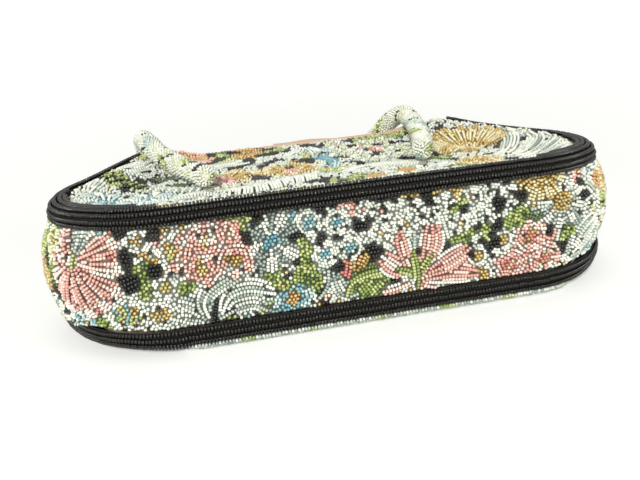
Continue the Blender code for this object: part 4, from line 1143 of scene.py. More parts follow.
def front_middle(lay):
    for u, v, reach in ((-46, 52, 3.4), (-38, 62, 3.4), (-20, 50, 3.0), (-18, 61, 3.4), (-50, 61, 2.6),
                        (-30, 5, 5.0), (-31, 44, 3.6), (-2, 33, 4.2), (18, 27, 2.8), (50, 45, 2.8), (33, 24, 2.6),
                        (28, 59, 2.8), (-57, 16, 3.4), (-62, 26, 4.0), (6, 59, 2.6), (40, 45, 2.4), (12, 57, 2.4),
                        (-2, 24, 2.8), (48, 10, 2.8), (-40, 32, 3.0), (-22, 36, 3.0), (22, 12, 2.6), (36, 30, 2.4),
                        (60, 36, 2.8), (-8, 54, 2.6), (-56, 33, 3.2), (-34, 11, 3.4), (-16, 53, 3.2),
                        (-52, 47, 2.8), (-14, 19, 2.8), (48, 27, 2.8), (27, 48, 2.6), (9, 42, 2.4), (-26, 29, 3.0),
                        (62, 14, 2.6)):
        lay.patch(u, v, reach, "x", 0.8)
    # gold and orange along the mouth
    several(lay.bloom, (-66, 60, 8.5, 7, (("o", "m", "o"), ("m", "o", "y")), "y", "oy", 1),
            (-54, 58, 7.0, 6, (("m", "o", "q"),), "y", "oy", 1),
            (-31, 59, 9.0, 8, (("y", "o", "h"),), "a", "ya", 1))
    lay.leaf(-43, 60, 10, 10, 5, LIGHT_GREEN)
    lay.leaf(-16, 57, 20, 12, 5, LIGHT_GREEN)
    lay.plume(((-64, 34), (-52, 40), (-38, 42), (-24, 46)), 8.6, ("wvw", "gwg", "wvw", "wkw"), 1.0)
    # pink flower with gold petals to its right
    lay.centre(-47, 9, "r", "prp", 2, 1.0)
    for angle, reach, rows, paints in ((-70, 9, 4, ("pq", "qp")), (-130, 9, 4, ("qw", "pq")),
                                       (170, 9, 4, ("pq", "qw")), (115, 10, 4, ("pq", "qp")),
                                       (5, 17, 6, ("yyh", "yhy", "ayh")), (35, 21, 7, GOLDEN),
                                       (68, 24, 6, ("oyh", "yhy", "yh")), (-30, 13, 5, ("yah", "yhh", "yh"))):
        lay.petal(-47, 9, RAD(angle), 4.0, reach, rows, paints, 0.0, 1.0)
    # gold flower with a pink centre
    lay.centre(-14, 10, "r", "pqp", 2, 1.0)
    for angle, reach, rows in ((0, 15, 5), (40, 17, 6), (80, 20, 7), (125, 20, 7), (165, 15, 5), (-30, 10, 4),
                               (-150, 10, 4), (-90, 8, 4)):
        lay.petal(-14, 10, RAD(angle), 4.0, reach, rows, GOLDEN, 0.0, 1.0)
    several(lay.plume, (((-10, 42), (-4, 50), (-2, 60)), 9.5, BLUE_STRIPES, 1.2),
            (((3, 34), (6, 44), (4, 56)), 7.6, ("wvw", "gwg", "wvw", "nwn"), 1.2),
            (((7, 8), (10, 22), (7, 34), (12, 48)), 6.6, ("btb", "nbn", "tbt"), 0.6))
    for u, v, inner in ((20, 52, "h"), (27, 30, "w"), (17, 38, "h"), (33, 48, "y"), (45, 50, "h"), (50, 38, "w"),
                        (58, 26, "w"), (40, 20, "w"), (28, 18, "v"), (56, 14, "v"), (47, 28, "w")):
        lay.bloom(u, v, 7.6, 5, CREAM, inner, "wv", 0, 40, lift=0.9)
    lay.bloom(25, 41, 7.6, 5, SALMON, "q", "qw", 1)
    lay.bloom(40, 36, 7.0, 5, SALMON, "q", "qw", 1)
    lay.leaf(36, 58, 10, 12, 6, LIGHT_GREEN)
    lay.leaf(50, 57, -20, 10, 5, ("klk", "lkl"))
    # padded white stem that lies along the trim
    lay.ribs(((-50, -19), (-36, -17), (-20, -11), (-5, -7)), 13.0, ("wvw", "wwv", "vwg"), 2.0)
    lay.leaf(0, -21, 75, 12, 2, ("k", "l"), lift=0.8)
    lay.patch(-3, -15, 4.4)
    lay.patch(1, -25, 5.0, "x", 1.2, 1.0)
    lay.leaf(12, -19, 60, 13, 5, GREEN, lift=0.8)
    lay.bloom(20, -22, 11.0, 7, CREAM, "o", "oyo", 2, lift=1.0)
    lay.bloom(37, -18, 10.0, 7, CREAM, "o", "oyo", 2, lift=1.0)
    lay.plume(((8, -4), (24, 1), (44, -3), (60, -7)), 11.0, ("wvw", "vww", "wwv", "gvg", "wwv", "vwv"), 1.4)
    lay.plume(((46, -22), (56, -16), (64, -10)), 7.6, PALE_STRIPES, 1.0)
    lay.bloom(-42, -32, 8.0, 6, CREAM, "y", "yk", 1)
    lay.bloom(-24, -30, 8.0, 6, CREAM, "n", "bn", 1)


def front_right(lay):
    # great gold flower right of the handle
    lay.centre(80, 8, "a", "yay", 2, 0.8)
    for step in range(11):
        angle = 20 + step * 14
        lay.petal(80, 8, RAD(angle), 4.0, 40 - abs(step - 5) * 2.6, 6, ("yhay", "hyhy", "ayhh"), 0.0, 0.5, 1.0)
    lay.bloom(76, -17, 12.0, 11, GOLD, "a", "yay", 1, lift=1.0)
    lay.leaf(64, 2, 60, 9, 4, GREEN)
    lay.patch(89, -22, 4.4, "x", 0.5, 1.2)
    lay.patch(66, -6, 2.2)
    # white and grey striped petals towards the right corner
    several(lay.plume, (((88, -8), (97, -2), (104, 10), (103, 24)), 8.6, ("wvw", "gwg", "wvw", "sgs"), 1.2),
            (((92, -14), (104, -10), (112, -2), (113, 8)), 9.6, ("wvw", "gsg", "wvw", "gwg", "wvw"), 1.2),
            (((94, -22), (106, -20), (116, -14), (121, -6)), 8.6, GREY_STRIPES, 1.2),
            (((94, -30), (106, -30), (118, -24)), 8.6, ("wvw", "gsg", "wvw", "wgw"), 1.0))
    lay.patch(107, 3, 2.2, "x", 0.6, 1.0)
    lay.bloom(78, -38, 9.0, 7, WHITE, "y", "yk", 1)
    lay.bloom(58, -32, 9.0, 7, WHITE, "b", "bn", 1)
    lay.leaf(66, -26, 70, 8, 4, GREEN)


def back_pattern():
    """Back panel, which the photo hides but for its edge: the same kinds of flower."""
    lay = Layout(in_panel, 13)
    carry_on(lay, (-118, -56), (118, 60), 31)
    lay.fill((-122, -60), (122, 66), front_tints)
    return lay


# ---------------------------------------------------------------- beaded cloth

def paint_cloth_shade(work, lay, place_of):
    """Paints a cloth's points in a darker shade of the beads over them, as painted shade between the beads."""
    layer = work.verts.layers.float_color.new("Bead")
    spots = np.array([v.co for v in work.verts])
    tints = lay.tint_map(*place_of(spots)) * BACKING_PAINTED_SHADE
    for vert, tint in zip(work.verts, tints):
        vert[layer] = (*tint, 1.0)


def run_of(spots):
    """Run round the outline of points that lie near it."""
    ax, y = np.abs(spots[:, 0]), spots[:, 1]
    angle = np.arctan2(y - CORNER_Y, ax - CORNER_X)
    arc = CORNER_X + CORNER_RADIUS * (np.clip(angle, -math.pi / 2, SIDE_ANGLE) + math.pi / 2)
    over = (ax - SIDE_START[0]) * SIDE_ALONG[0] + (y - SIDE_START[1]) * SIDE_ALONG[1]
    far = np.where(ax < CORNER_X, np.where(y < CORNER_Y, ax, CORNER_X + ARC_RUN + over), arc)
    far = np.where((angle > SIDE_ANGLE) & (y > CORNER_Y), CORNER_X + ARC_RUN + over, far)
    return far * np.sign(spots[:, 0])


# A panel's cloth spans percent of its half length and mm of its height; the gusset's spans mm of its run
PERCENT, BAND_END = (0, 100), HALF_RUN - HEM_WIDTH - GAP
PANEL_SPAN, PANEL_RISE = (-100, 100), (PANEL_INSET + BASE_Y + 0.05, MOUTH_Y - HEM_WIDTH - GAP)
# Flat sizes of panels and gusset in metres
PANEL_SIZE, BAND_SIZE = (0.244, 0.124), (0.504, 0.045)
# The backing cloth: how deep it lies under the bead tops, its thickness, and how dark its painted shade is against
# its beads
BACKING_DEPTH, BACKING_THICK, BACKING_PAINTED_SHADE = BEAD * 0.62, 0.9, 0.22
# Where the gusset's beads are cut into pieces
BAND_CUTS = (-HALF_RUN - 1, -140, -50, 45, 140, HALF_RUN + 1)


def panel_place(face_point, depth):
    """Places on a panel for sheet_work, where depth(x, y) is in mm under the bead tops."""
    def place(u, v):
        x = half_length(v, PANEL_INSET) * u / 100.0
        return face_point(x, v, depth(x, v))
    return place


def beaded_cloth():
    """Cloth of the two panels and the gusset, with the beads sewn on it."""
    def band(u, v):
        low = TRIM_ON_GUSSET - GAP - LEFT_LAP * left_end(u)
        return band_point(u, low + (band_height(u) - TRIM_ON_GUSSET + GAP - low) * v / 100.0, BACKING_DEPTH)

    def on_panel(spots):
        return spots[:, 0], spots[:, 1]

    def on_band(spots):
        return run_of(spots), spots[:, 2] - back_edge(spots[:, 1])

    front, back, gusset = front_pattern(), back_pattern(), band_pattern()
    for name, point, lay, thick in (("front", front_point, front, BACKING_THICK),
                                    ("back", back_point, back, -BACKING_THICK)):
        place = panel_place(point, lambda x, y: BACKING_DEPTH)
        work = sheet_work(place, PANEL_SPAN, PANEL_RISE, (96, 54), thick)
        backing_cloth(name, work, lay, on_panel, f"{name}_panel")
    work = sheet_work(band, (-BAND_END, BAND_END), PERCENT, (250, 22), BACKING_THICK)
    backing_cloth("gusset", work, gusset, on_band, "gusset_band")
    for index, (low, high) in enumerate(zip(BAND_CUTS, BAND_CUTS[1:])):
        strew(f"gusset_beads_{index + 1}", gusset.beads(band_point, 1, lambda u, v: low <= u < high),
              *ON_CLOTH)
    for name, point, lay, flip in (("front", front_point, front, 1), ("back", back_point, back, -1)):
        for side, pick in (("left", lambda u, v: u < 0), ("right", lambda u, v: u >= 0)):
            strew(f"{name}_beads_{side}", lay.beads(point, flip, pick), *ON_CLOTH)


def backing_cloth(name, work, lay, place_of, replaced):
    """The cloth that a pattern's beads are sewn on, painted in a darker shade of them as the shade between the
    beads.
    """
    paint_cloth_shade(work, lay, place_of)
    piece = finish_piece(f"{name}_backing_cloth", work, FINISH["ground"], "bag")
    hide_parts(replaced)


# ---------------------------------------------------------------- dark bead trims

# The trims end before the knots; their last row lies at the gusset; beads along a row stand a pitch apart
TRIM_END, TRIM_LAST, TRIM_PITCH = HALF_RUN - 2 * KNOT, TRIM_WIDE - LAP_ON_GUSSET, 1.46
# How far past the panel's beads the trim's strip of cloth begins
STRIP_FROM = 0.8
# Rows of the back panel's beads below the lower trim: how far in, at what height, and how far each looks outwards
EDGE_ROWS = ((0.5, 3.1, 0.8), (1.9, 1.9, 0.5), (3.6, 1.5, 0.2), (5.3, 1.4, 0.1), (7.0, 1.3, 0.05))
# Beads of the knots: radius of their middles, width, length and pitch, and the lean from ring to ring
KNOT_REACH, KNOT_BEAD, KNOT_LONG, KNOT_PITCH, KNOT_LEAN = KNOT - 0.75, 1.6, 1.35, 1.45, 0.58


def trims():
    """Rows of jet beads round both panels, on a folded strip of dark cloth, with a beaded knot at each end."""
    random = np.random.default_rng(5)
    lapped_edge(random)
    for name, point, lap, edge, flip in (("front", front_trim_point, panel_lap, front_edge, 1),
                                         ("back", back_trim_point, base_lap, back_edge, -1)):
        trim_cloth(name, point, lap, flip)
        trim_beads(name, point, lap, flip, random)
        for side_name, side in (("left", -1), ("right", 1)):
            knot(f"{name}_trim_knot_{side_name}", side, edge, -flip, f"{name}_trim_{side_name}_end")


def trim_cloth(name, point, lap, flip):
    """The folded strip that a trim's beads are sewn on."""
    def place(u, v):
        first = lap(u) + STRIP_FROM
        return point(u, first + (TRIM_LAST - 0.5 - first) * v / 100.0, 0.95)

    work = sheet_work(place, (-TRIM_END, TRIM_END), PERCENT, (140, 10), 0.8 * flip)
    # The strip is painted dark, as the shade between the trim's beads
    strip = finish_piece(f"{name}_trim_cloth", work, FINISH["backing"], "bag")
    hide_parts(f"{name}_trim")


def trim_beads(name, point, lap, flip, random):
    """Rows of a trim, from the gusset inwards, as far as the panel's beads leave them bare."""
    spots = []
    count = int(2 * TRIM_END / TRIM_PITCH)
    for row in range(int(TRIM_WIDE / TRIM_ROW)):
        across = TRIM_LAST - TRIM_ROW * (row + 0.5)
        for i in range(count):
            run = -TRIM_END + (i + 0.5 * (row % 2)) * 2 * TRIM_END / count + random.uniform(-0.1, 0.1)
            if across > lap(run) + 0.3 + TRIM_ROW * 0.3:
                spots.append((run, across + random.uniform(-0.12, 0.12)))
    u, v = np.array(spots).T
    wide = vary(TRIM_BEAD, 0.03, random, len(u))
    u = np.clip(u, -TRIM_END + 0.5, TRIM_END - 0.5)
    placed = on_surface(point, u, v, random.uniform(-0.06, 0.06, len(u)), flip, wide / 2)
    strew_parts(f"{name}_trim_beads", bead_set(*placed, wide, TRIM_LONG, LINEAR_PAINT["x"]),
                (("left", u < 0), ("right", u >= 0)), *ON_TRIM, TRIM_SHAPE)


def lapped_edge(random):
    """Rows of the back panel's beads that come round under the lower trim and show below it."""
    spots = []
    for row, (inset, level, lean) in enumerate(EDGE_ROWS):
        for run in np.arange(BASE_SPAN[0] + 0.7 * (row % 2), BASE_SPAN[2] + BASE_SPAN[3], BEAD_LONG + 0.02):
            share = float(at_base(run))
            if share > 0.2:
                spots.append((run + random.uniform(-0.1, 0.1), inset + (1.0 - share) * 4.0, level, lean))
    run, inset, level, lean = np.array(spots).T
    x, y, nx, ny = outline(run)
    # Pale and grey beads, painted grey as the shade under the lower trim, with stretches of green
    tints = ["vgsg"[random.integers(4)] if math.sin(u * 0.21) < 0.75 else "kgl"[random.integers(3)] for u in run]
    up = unit(np.stack([nx * lean, ny * lean, -np.sqrt(1.0 - lean ** 2)], -1))
    along = unit(np.cross(up, np.stack([nx, ny, nx * 0.0], -1)))
    level = level + random.uniform(-0.15, 0.15, len(run))
    centre = np.stack([x - nx * inset, y - ny * inset, level], -1)
    paint = np.array([LINEAR_PAINT[t] for t in tints])
    strew("back_edge_beads", bead_set(centre, along, up, BEAD, BEAD_LONG, paint), *ON_CLOTH)


def knot(name, side, edge, direction, replaced):
    """Beads wound round the end of a trim."""
    spot = np.array([MOUTH / 2, MOUTH_Y]) - SIDE_ALONG * KNOT - SIDE_NORMAL * TRIM_CORNER
    middle = np.array([side * spot[0], spot[1], float(edge(spot[1])) + direction * KNOT])
    work = bmesh.new()
    bmesh.ops.create_icosphere(work, subdivisions=2, radius=KNOT - 1.1)
    bmesh.ops.translate(work, verts=work.verts, vec=middle)
    # The core is painted dark, as the shade between the knot's beads
    core = finish_piece(name + "_core", work, FINISH["backing"], "bag")
    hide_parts(replaced)
    axis = unit(np.array([side * SIDE_ALONG[0], SIDE_ALONG[1], 0.0]))
    across, rise = np.cross(axis, (0, 0, 1)), np.array([0, 0, 1.0])
    outs = []
    for ring in range(-2, 3):
        lean = ring * KNOT_LEAN
        count = max(int(2 * math.pi * KNOT_REACH * math.cos(lean) / KNOT_PITCH), 3)
        for i in range(count):
            angle = 2 * math.pi * (i + 0.5 * (ring % 2)) / count
            round_axis = across * math.cos(angle) + rise * math.sin(angle)
            outs.append(round_axis * math.cos(lean) + axis * math.sin(lean))
    up = np.array(outs)
    along = unit(np.cross(up, axis))
    strew(name, bead_set(middle + up * KNOT_REACH, along, up, KNOT_BEAD, KNOT_LONG, LINEAR_PAINT["x"]), *ON_TRIM)


# ---------------------------------------------------------------- rope handles

FRONT_ROUTE = (
    (-63.5, 4.0, 61.6), (-70.0, 20.0, 62.0), (-75.6, 34.0, 63.4), (-80.0, 47.0, 65.6), (-82.8, 58.0, 67.1),
    (-84.6, 67.0, 67.2), (-85.0, 75.0, 64.0), (-84.2, 83.0, 57.0), (-81.5, 92.0, 48.0), (-74.0, 106.0, 36.0),
    (-62.0, 119.0, 27.0), (-46.0, 128.0, 22.0), (-27.0, 132.0, 20.5), (-6.0, 131.0, 20.5), (14.0, 125.0, 22.0),
    (31.0, 114.0, 27.5), (44.0, 101.0, 38.0), (53.0, 90.0, 49.0), (59.0, 82.0, 58.0), (62.8, 74.0, 63.2),
    (64.5, 65.0, 64.8), (64.2, 56.0, 63.8), (62.5, 44.0, 63.0), (59.0, 26.0, 61.8), (53.5, 6.0, 61.6),
)


def front_route():
    start = HANDLE_Y + 1.0
    ends = [(HANDLE_OFFSET + side * HANDLE_SPREAD / 2, start, FRONT_AXIS_Z) for side in (-1, 1)]
    return [ends[0], *FRONT_ROUTE, ends[1]]


def back_route():
    leg, start = HANDLE_SPREAD / 2, HANDLE_Y + 1.0
    bow = MOUTH_Y + BACK_REACH - leg
    right = [(leg, start + (bow - start) * step / 6, BACK_AXIS_Z) for step in range(6)]
    turns = [math.pi * k / 10 for k in range(11)]
    over = [(leg * math.cos(turn), bow + leg * math.sin(turn), BACK_AXIS_Z) for turn in turns]
    return right + over + [(-x, y, z) for x, y, z in reversed(right)]


def rope_paint(at, angle, random):
    """Colour of one bead of a rope, at mm along it and an angle round it."""
    blotch = math.sin(at * 0.19 + 2.2 * math.sin(angle)) + math.sin(at * 0.083 + angle + 1.3)
    spot = math.sin(at * 0.47 + 3.0 * math.cos(angle + at * 0.03)) + math.sin(at * 0.31 + 2.0 * angle)
    if spot > 1.72:
        return "x"
    if blotch > 1.25:
        return "ekl"[random.integers(3)]
    if blotch < -1.5:
        return "gn"[random.integers(2)]
    return "wwvwe"[random.integers(5)]


def frames_along(fine):
    """Directions along a line of points and two across it, without a twist."""
    ahead = unit(np.gradient(fine, axis=0))
    sides, side = [], np.cross(ahead[0], (0, 0, 1.0))
    for way in ahead:
        side = unit(side - way * side.dot(way))
        sides.append(side)
    return ahead, np.array(sides), np.cross(ahead, sides)


def tube(spots, sides, rises, ahead, sizes, segments):
    """A closed tube along spots. sizes says how far it reaches along the sides and the rises at each."""
    work = bmesh.new()
    circles = []
    for spot, side, rise, way, size in zip(spots, sides, rises, ahead, sizes):
        ring = bmesh.ops.create_circle(work, cap_ends=False, segments=segments, radius=1.0)["verts"]
        bmesh.ops.scale(work, verts=ring, vec=(*size, 1.0))
        turn = Matrix((side, rise, way)).transposed().to_4x4()
        bmesh.ops.transform(work, matrix=Matrix.Translation(Vector(spot)) @ turn, verts=ring)
        circles.append(list({e for v in ring for e in v.link_edges}))
    for first, second in zip(circles, circles[1:]):
        bmesh.ops.bridge_loops(work, edges=first + second)
    bmesh.ops.holes_fill(work, edges=circles[0] + circles[-1], sides=segments)
    bmesh.ops.recalc_face_normals(work, faces=work.faces)
    return work


# Reach of a rope's bead middles, radius of its domed ends, pitch round a ring, and the tilts of the rings on a dome
ROPE_REACH, ROPE_DOME, ROPE_PITCH = HANDLE_RADIUS - BEAD / 2 - 0.05, HANDLE_RADIUS - 1.2, 1.47
DOME_TILTS = (22, 43, 62, 79, 90)
# Where one ring and a half of black beads goes round the front handle, from its left end
BLACK_RING = (5.0, 8.6)
ROPE_CORE = HANDLE_RADIUS - BEAD * 0.72


def rope(name, route, body, replaced):
    """A rope handle: rings of beads sewn round a cord, closed at both sewn ends."""
    random = np.random.default_rng(len(name))
    fine = smooth_line(np.array(route), 900)
    runs = np.concatenate([[0], np.cumsum(np.linalg.norm(np.diff(fine, axis=0), axis=1))])
    total = runs[-1]
    ahead, sides, rises = frames_along(fine)
    centres, alongs, ups, paints = [], [], [], []

    def ring(at, tilt=0.0, sign=1.0):
        """A ring of beads round the rope, leaning to its end by a tilt."""
        k = min(int(np.searchsorted(runs, at)), len(fine) - 1)
        way = ahead[k] * sign
        held = (ROPE_REACH + 0.12 * math.sin(at * 0.21)) * math.cos(tilt)
        count = max(int(2 * math.pi * held / ROPE_PITCH), 1)
        for i in range(count):
            angle = 2 * math.pi * (i + 0.5 * (int(at / ROW) % 2)) / count + random.uniform(-0.04, 0.04)
            radial = sides[k] * math.cos(angle) + rises[k] * math.sin(angle)
            spot = fine[k] + radial * held + way * (ROPE_DOME - BEAD / 2) * math.sin(tilt)
            centres.append(spot + ahead[k] * random.uniform(-0.12, 0.12))
            ups.append(radial * math.cos(tilt) + way * math.sin(tilt))
            alongs.append(unit(np.cross(ahead[k], radial)))
            on_ring = BLACK_RING[0] < at < BLACK_RING[1] and radial[2] > 0.6 and radial[0] < 0.9
            black = name == "front_rope" and on_ring
            paints.append(LINEAR_PAINT["x" if black else rope_paint(at, angle, random)])

    rings = int((total - 2 * ROPE_DOME) / ROW)
    for index in range(rings + 1):
        ring(ROPE_DOME + index * (total - 2 * ROPE_DOME) / rings)
    for at, sign in ((ROPE_DOME, -1.0), (total - ROPE_DOME, 1.0)):
        for tilt in DOME_TILTS:
            ring(at, RAD(tilt), sign)
    count = len(centres)
    paints = np.array(paints)
    paints[:, :3] *= vary(1.0, 0.12, random, count)[:, None]
    half = np.arange(count) < count // 2
    strew_parts(f"{name}_beads", bead_set(centres, alongs, ups, BEAD, BEAD_LONG, paints),
                (("near", half), ("far", ~half)), FINISH["beads"], body, "handle_beads")
    to_end = np.minimum(runs, total - runs) - 1.0
    closing = np.sqrt(np.maximum(1.0 - np.maximum(1.0 - to_end / ROPE_DOME, 0.0) ** 2, 0.02))
    picked = slice(0, len(fine), 9)
    sizes = ROPE_CORE * np.stack([closing, closing], -1)
    work = tube(fine[picked], sides[picked], rises[picked], ahead[picked], sizes[picked], 12)
    core = finish_piece(name + "_core", work, FINISH["cotton"], body)
    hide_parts(*replaced)


def cad_box(name):
    """Low and high corner of a CAD node, in mm."""
    return (np.array(corner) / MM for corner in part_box(name))


def shank(name, node_name):
    """Turns of waxed thread under a sewn end of a handle."""
    low, high = cad_box(node_name)
    middle = (low + high) / 2 + np.array([0.0, 1.6, 0.0])
    radius, tube_radius = 1.9, 0.38
    work = bmesh.new()
    for reach in (radius, radius - 0.8, radius - 1.6):
        ring = bmesh.ops.create_circle(work, segments=8, radius=tube_radius)["verts"]
        bmesh.ops.rotate(work, verts=ring, matrix=Matrix.Rotation(math.pi / 2, 3, "X"))
        bmesh.ops.translate(work, verts=ring, vec=(reach, 0, 0))
        edges = list({e for v in ring for e in v.link_edges})
        bmesh.ops.spin(work, geom=ring + edges, axis=(0, 0, 1), cent=(0, 0, 0), dvec=(0, 0, 0),
                       angle=2 * math.pi, steps=28, use_merge=True)
    bmesh.ops.remove_doubles(work, verts=work.verts, dist=0.001)
    bmesh.ops.translate(work, verts=work.verts, vec=middle)
    bmesh.ops.recalc_face_normals(work, faces=work.faces)
    piece = finish_piece(name, work, FINISH["thread"], "bag")
    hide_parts(node_name)


def handles():
    rope("front_rope", front_route(), "front_rope_handle", ("front_handle", "front_handle_cord"))
    rope("back_rope", back_route(), "back_rope_handle", ("back_handle", "back_handle_cord"))
    for panel in ("front", "back"):
        for side in ("left", "right"):
            shank(f"{panel}_{side}_sewn_foot", f"{panel}_handle_{side}_shank")


# ---------------------------------------------------------------- satin inside and at the mouth

# Thickness of cloth, stiffener and gaps over the lining, and of the lining too; of a sheet of satin
OVER_LINING = CLOTH + GAP + STIFFENER + GAP
INNER, SATIN = OVER_LINING + LINING, 0.45
LINING_BAND_SIZE = (0.48, 0.045)
# Stitches along the pocket's edges: pitch, distance from the edge, and size along a row
STITCH_PITCH, STITCH_INSET, STITCH = 2.6, 1.2, (1.7, 0.34, 0.3)


def lining_depth(u, v):
    """How deep the satin lies under the bead tops, with soft puckers."""
    return OVER_LINING + 0.25 + 0.12 * np.sin(u * 0.9 + 2.0 * np.sin(v * 0.11)) * np.sin(v * 0.17 + 1.0)


def linings():
    """Satin lining of panels and gusset, the pocket and the bound mouth."""
    def band(u, v):
        x, y, nx, ny = outline(u)
        inset = RELIEF_DROP + lining_depth(u, v * 0.4)
        rise = TRIM_ON_GUSSET + GAP + (band_height(u) - 2 * (TRIM_ON_GUSSET + GAP)) * v / 100.0
        return np.stack([x - nx * inset, y - ny * inset, back_edge(y) + rise], -1)

    front = sheet_work(panel_place(front_point, lining_depth), PANEL_SPAN, PANEL_RISE, (60, 34), SATIN)
    back = sheet_work(panel_place(back_point, lining_depth), PANEL_SPAN, PANEL_RISE, (70, 44), -SATIN)
    gusset = sheet_work(band, (-BAND_END, BAND_END), PERCENT, (150, 10), SATIN)
    for name, work, size, board in (("front", front, PANEL_SIZE, "front_stiffener"),
                                    ("back", back, PANEL_SIZE, "back_stiffener"),
                                    ("gusset", gusset, LINING_BAND_SIZE, "base_board")):
        piece = finish_piece(f"{name}_satin_lining", work, FINISH["satin"], "bag")
        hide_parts(f"{name}_lining")
    pocket()
    hems()


def pocket():
    """Patch pocket with a turned top edge and a row of stitches along its other edges."""
    low, high = cad_box("inner_pocket")

    def place(u, v):
        top = soft((v - high[1] + 7.0) / 5.0)
        belly = 0.25 * np.sin(math.pi * (u - low[0]) / (high[0] - low[0])) * (v - low[1]) / (high[1] - low[1])
        return np.stack([u, v, low[2] + 0.1 + 0.12 * top + belly], -1)

    work = sheet_work(place, (low[0], high[0]), (low[1], high[1]), (24, 24), -SATIN)
    piece = finish_piece("satin_inner_pocket", work, FINISH["satin"], "bag")
    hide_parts("inner_pocket")
    up_side = STITCH[1], STITCH[0], STITCH[2]
    stitches = [((x, y), up_side) for x in (low[0] + STITCH_INSET, high[0] - STITCH_INSET)
                for y in np.arange(low[1] + 1.5, high[1], STITCH_PITCH)]
    stitches += [((x, low[1] + STITCH_INSET), STITCH) for x in np.arange(low[0] + 2.0, high[0] - 1.0, STITCH_PITCH)]
    work = bmesh.new()
    for (x, y), size in stitches:
        made = bmesh.ops.create_uvsphere(work, u_segments=6, v_segments=4, radius=0.5)["verts"]
        bmesh.ops.scale(work, verts=made, vec=size)
        bmesh.ops.translate(work, verts=made, vec=(x, y, low[2] + 0.62))
    finish_piece("pocket_stitches", work, FINISH["thread"], "bag")


def binding(name, path, across, replaced):
    """A rolled satin edge along a line of points: as wide as the hem, and thick enough to hold all layers."""
    fine = smooth_line(np.array(path), 60)
    ahead = unit(np.gradient(fine, axis=0))
    sides = np.array([unit(np.array(across) - way * np.dot(across, way)) for way in ahead])
    sizes = [(HEM_WIDTH / 2, INNER / 2 + 0.3)] * len(fine)
    work = tube(fine, sides, np.cross(ahead, sides), ahead, sizes, 14)
    layer = work.loops.layers.uv.new("UVMap")
    for face in work.faces:
        for loop in face.loops:
            loop[layer].uv = (loop.vert.co.x * MM, (loop.vert.co.y + loop.vert.co.z) * MM)
    piece = finish_piece(name, work, FINISH["satin"], "bag")
    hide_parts(replaced)


def hems():
    """Satin bindings along the mouth, and the facing that stands past the front one."""
    y = MOUTH_Y - HEM_WIDTH / 2
    reach = float(half_length(MOUTH_Y, PANEL_INSET)) - 1.4
    xs = np.linspace(-reach, reach, 40)
    sunk = 1.4 * over_hem(xs)
    front = [(x, y, float(front_face(x, y)) - INNER / 2 - down) for x, down in zip(xs, sunk)]
    back = [(x, y, float(back_face(x, y)) + INNER / 2) for x in xs]
    binding("front_mouth_binding", front, (0, 1, 0), "front_mouth_hem")
    binding("back_mouth_binding", back, (0, 1, 0), "back_mouth_hem")
    spot = np.array([MOUTH / 2, MOUTH_Y]) - SIDE_ALONG * HEM_WIDTH / 2 - SIDE_NORMAL * (RELIEF_DROP + INNER / 2)
    low, high = float(back_edge(y)) + TRIM_ON_GUSSET + 2.0, float(front_edge(y)) - TRIM_ON_GUSSET - 2.0
    for side_name, side in (("left", -1), ("right", 1)):
        path = [(side * spot[0], spot[1], low + (high - low) * k / 6) for k in range(7)]
        across = (side * SIDE_ALONG[0], SIDE_ALONG[1], 0.0)
        binding(f"{side_name}_side_binding", path, across, f"{side_name}_side_hem")
    facing()


# The facing: from where along the mouth it shows, for how long, how far it stands out and how that dwindles
FACING_FROM, FACING_LONG, FACING_OUT, FACING_DWINDLE = -13.0, 64.0, 7.2, 0.75


def facing():
    """Strip of the satin facing that has rolled out past the front binding."""
    def place(u, v):
        wide = FACING_OUT * (1.0 - FACING_DWINDLE * soft((u - FACING_FROM) / FACING_LONG)) + 0.5
        out = v / 10.0 * wide
        z = front_face(u, MOUTH_Y - 1.0) - 3.2 + 3.1 * soft(out / 5.0) + 0.35 * np.sin(u * 0.21)
        return np.stack([u, MOUTH_Y - 2.0 + out, z], -1)

    work = sheet_work(place, (FACING_FROM, FACING_FROM + FACING_LONG), (0.0, 10.0), (48, 8), 0.5)
    piece = finish_piece("front_satin_facing", work, FINISH["satin"], "bag")


# ---------------------------------------------------------------- zip

def zip_parts():
    """Woven tapes in place of the plain ones; the metal keeps its solids and gets its finish."""
    for panel in ("front", "back"):
        name = f"{panel}_zip_tape"
        low, high = cad_box(name)
        middle = (low[1] + high[1]) / 2

        def place(u, v):
            return np.stack([u, middle + 0.12 * np.sin(u * 0.35 + v * 0.4) - 0.25, v], -1)

        work = sheet_work(place, (low[0], high[0]), (low[2], high[2]), (80, 10), -0.5)
        piece = finish_piece(f"{panel}_woven_tape", work, FINISH["tape"], "bag")
        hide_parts(name)
    dress = {"brass": ("front_zip_teeth", "back_zip_teeth", "zip_bottom_stop", "front_zip_top_stop",
                       "back_zip_top_stop", "zip_slider", "zip_slider_bail", "zip_pull"),
             "buckram": ("front_stiffener", "back_stiffener", "left_side_stiffener", "right_side_stiffener"),
             "board": ("base_board",)}
    for finish, names in dress.items():
        for name in names:
            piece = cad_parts[name]
            piece.data.materials.clear()
            piece.data.materials.append(FINISH[finish])


# ---------------------------------------------------------------- stage, light and camera

# Where the photo was taken from, found from the corners of the bag in it, and the camera's pan, tilt and roll
CAMERA_PLACE, CAMERA_TURNS = (-79.21, -375.65, 150.61), (11.245, 18.970, -4.461)
LENS, SENSOR = 45.0, 36.0
WHITE_LIGHT, PAPER = linear("#FFFFFF"), linear("#F4F4F0")
# Each lamp's name, place, size in metres and power in watts; all look at LIT
LIT = (0.0, 0.0, 0.03)
LAMPS = (("key_softbox", (-0.7, -1.8, 1.12), 0.38, 50.0), ("fill_softbox", (2.0, -1.6, 1.2), 1.2, 10.0),
         ("top_softbox", (0.1, 0.9, 2.4), 1.4, 4.0))


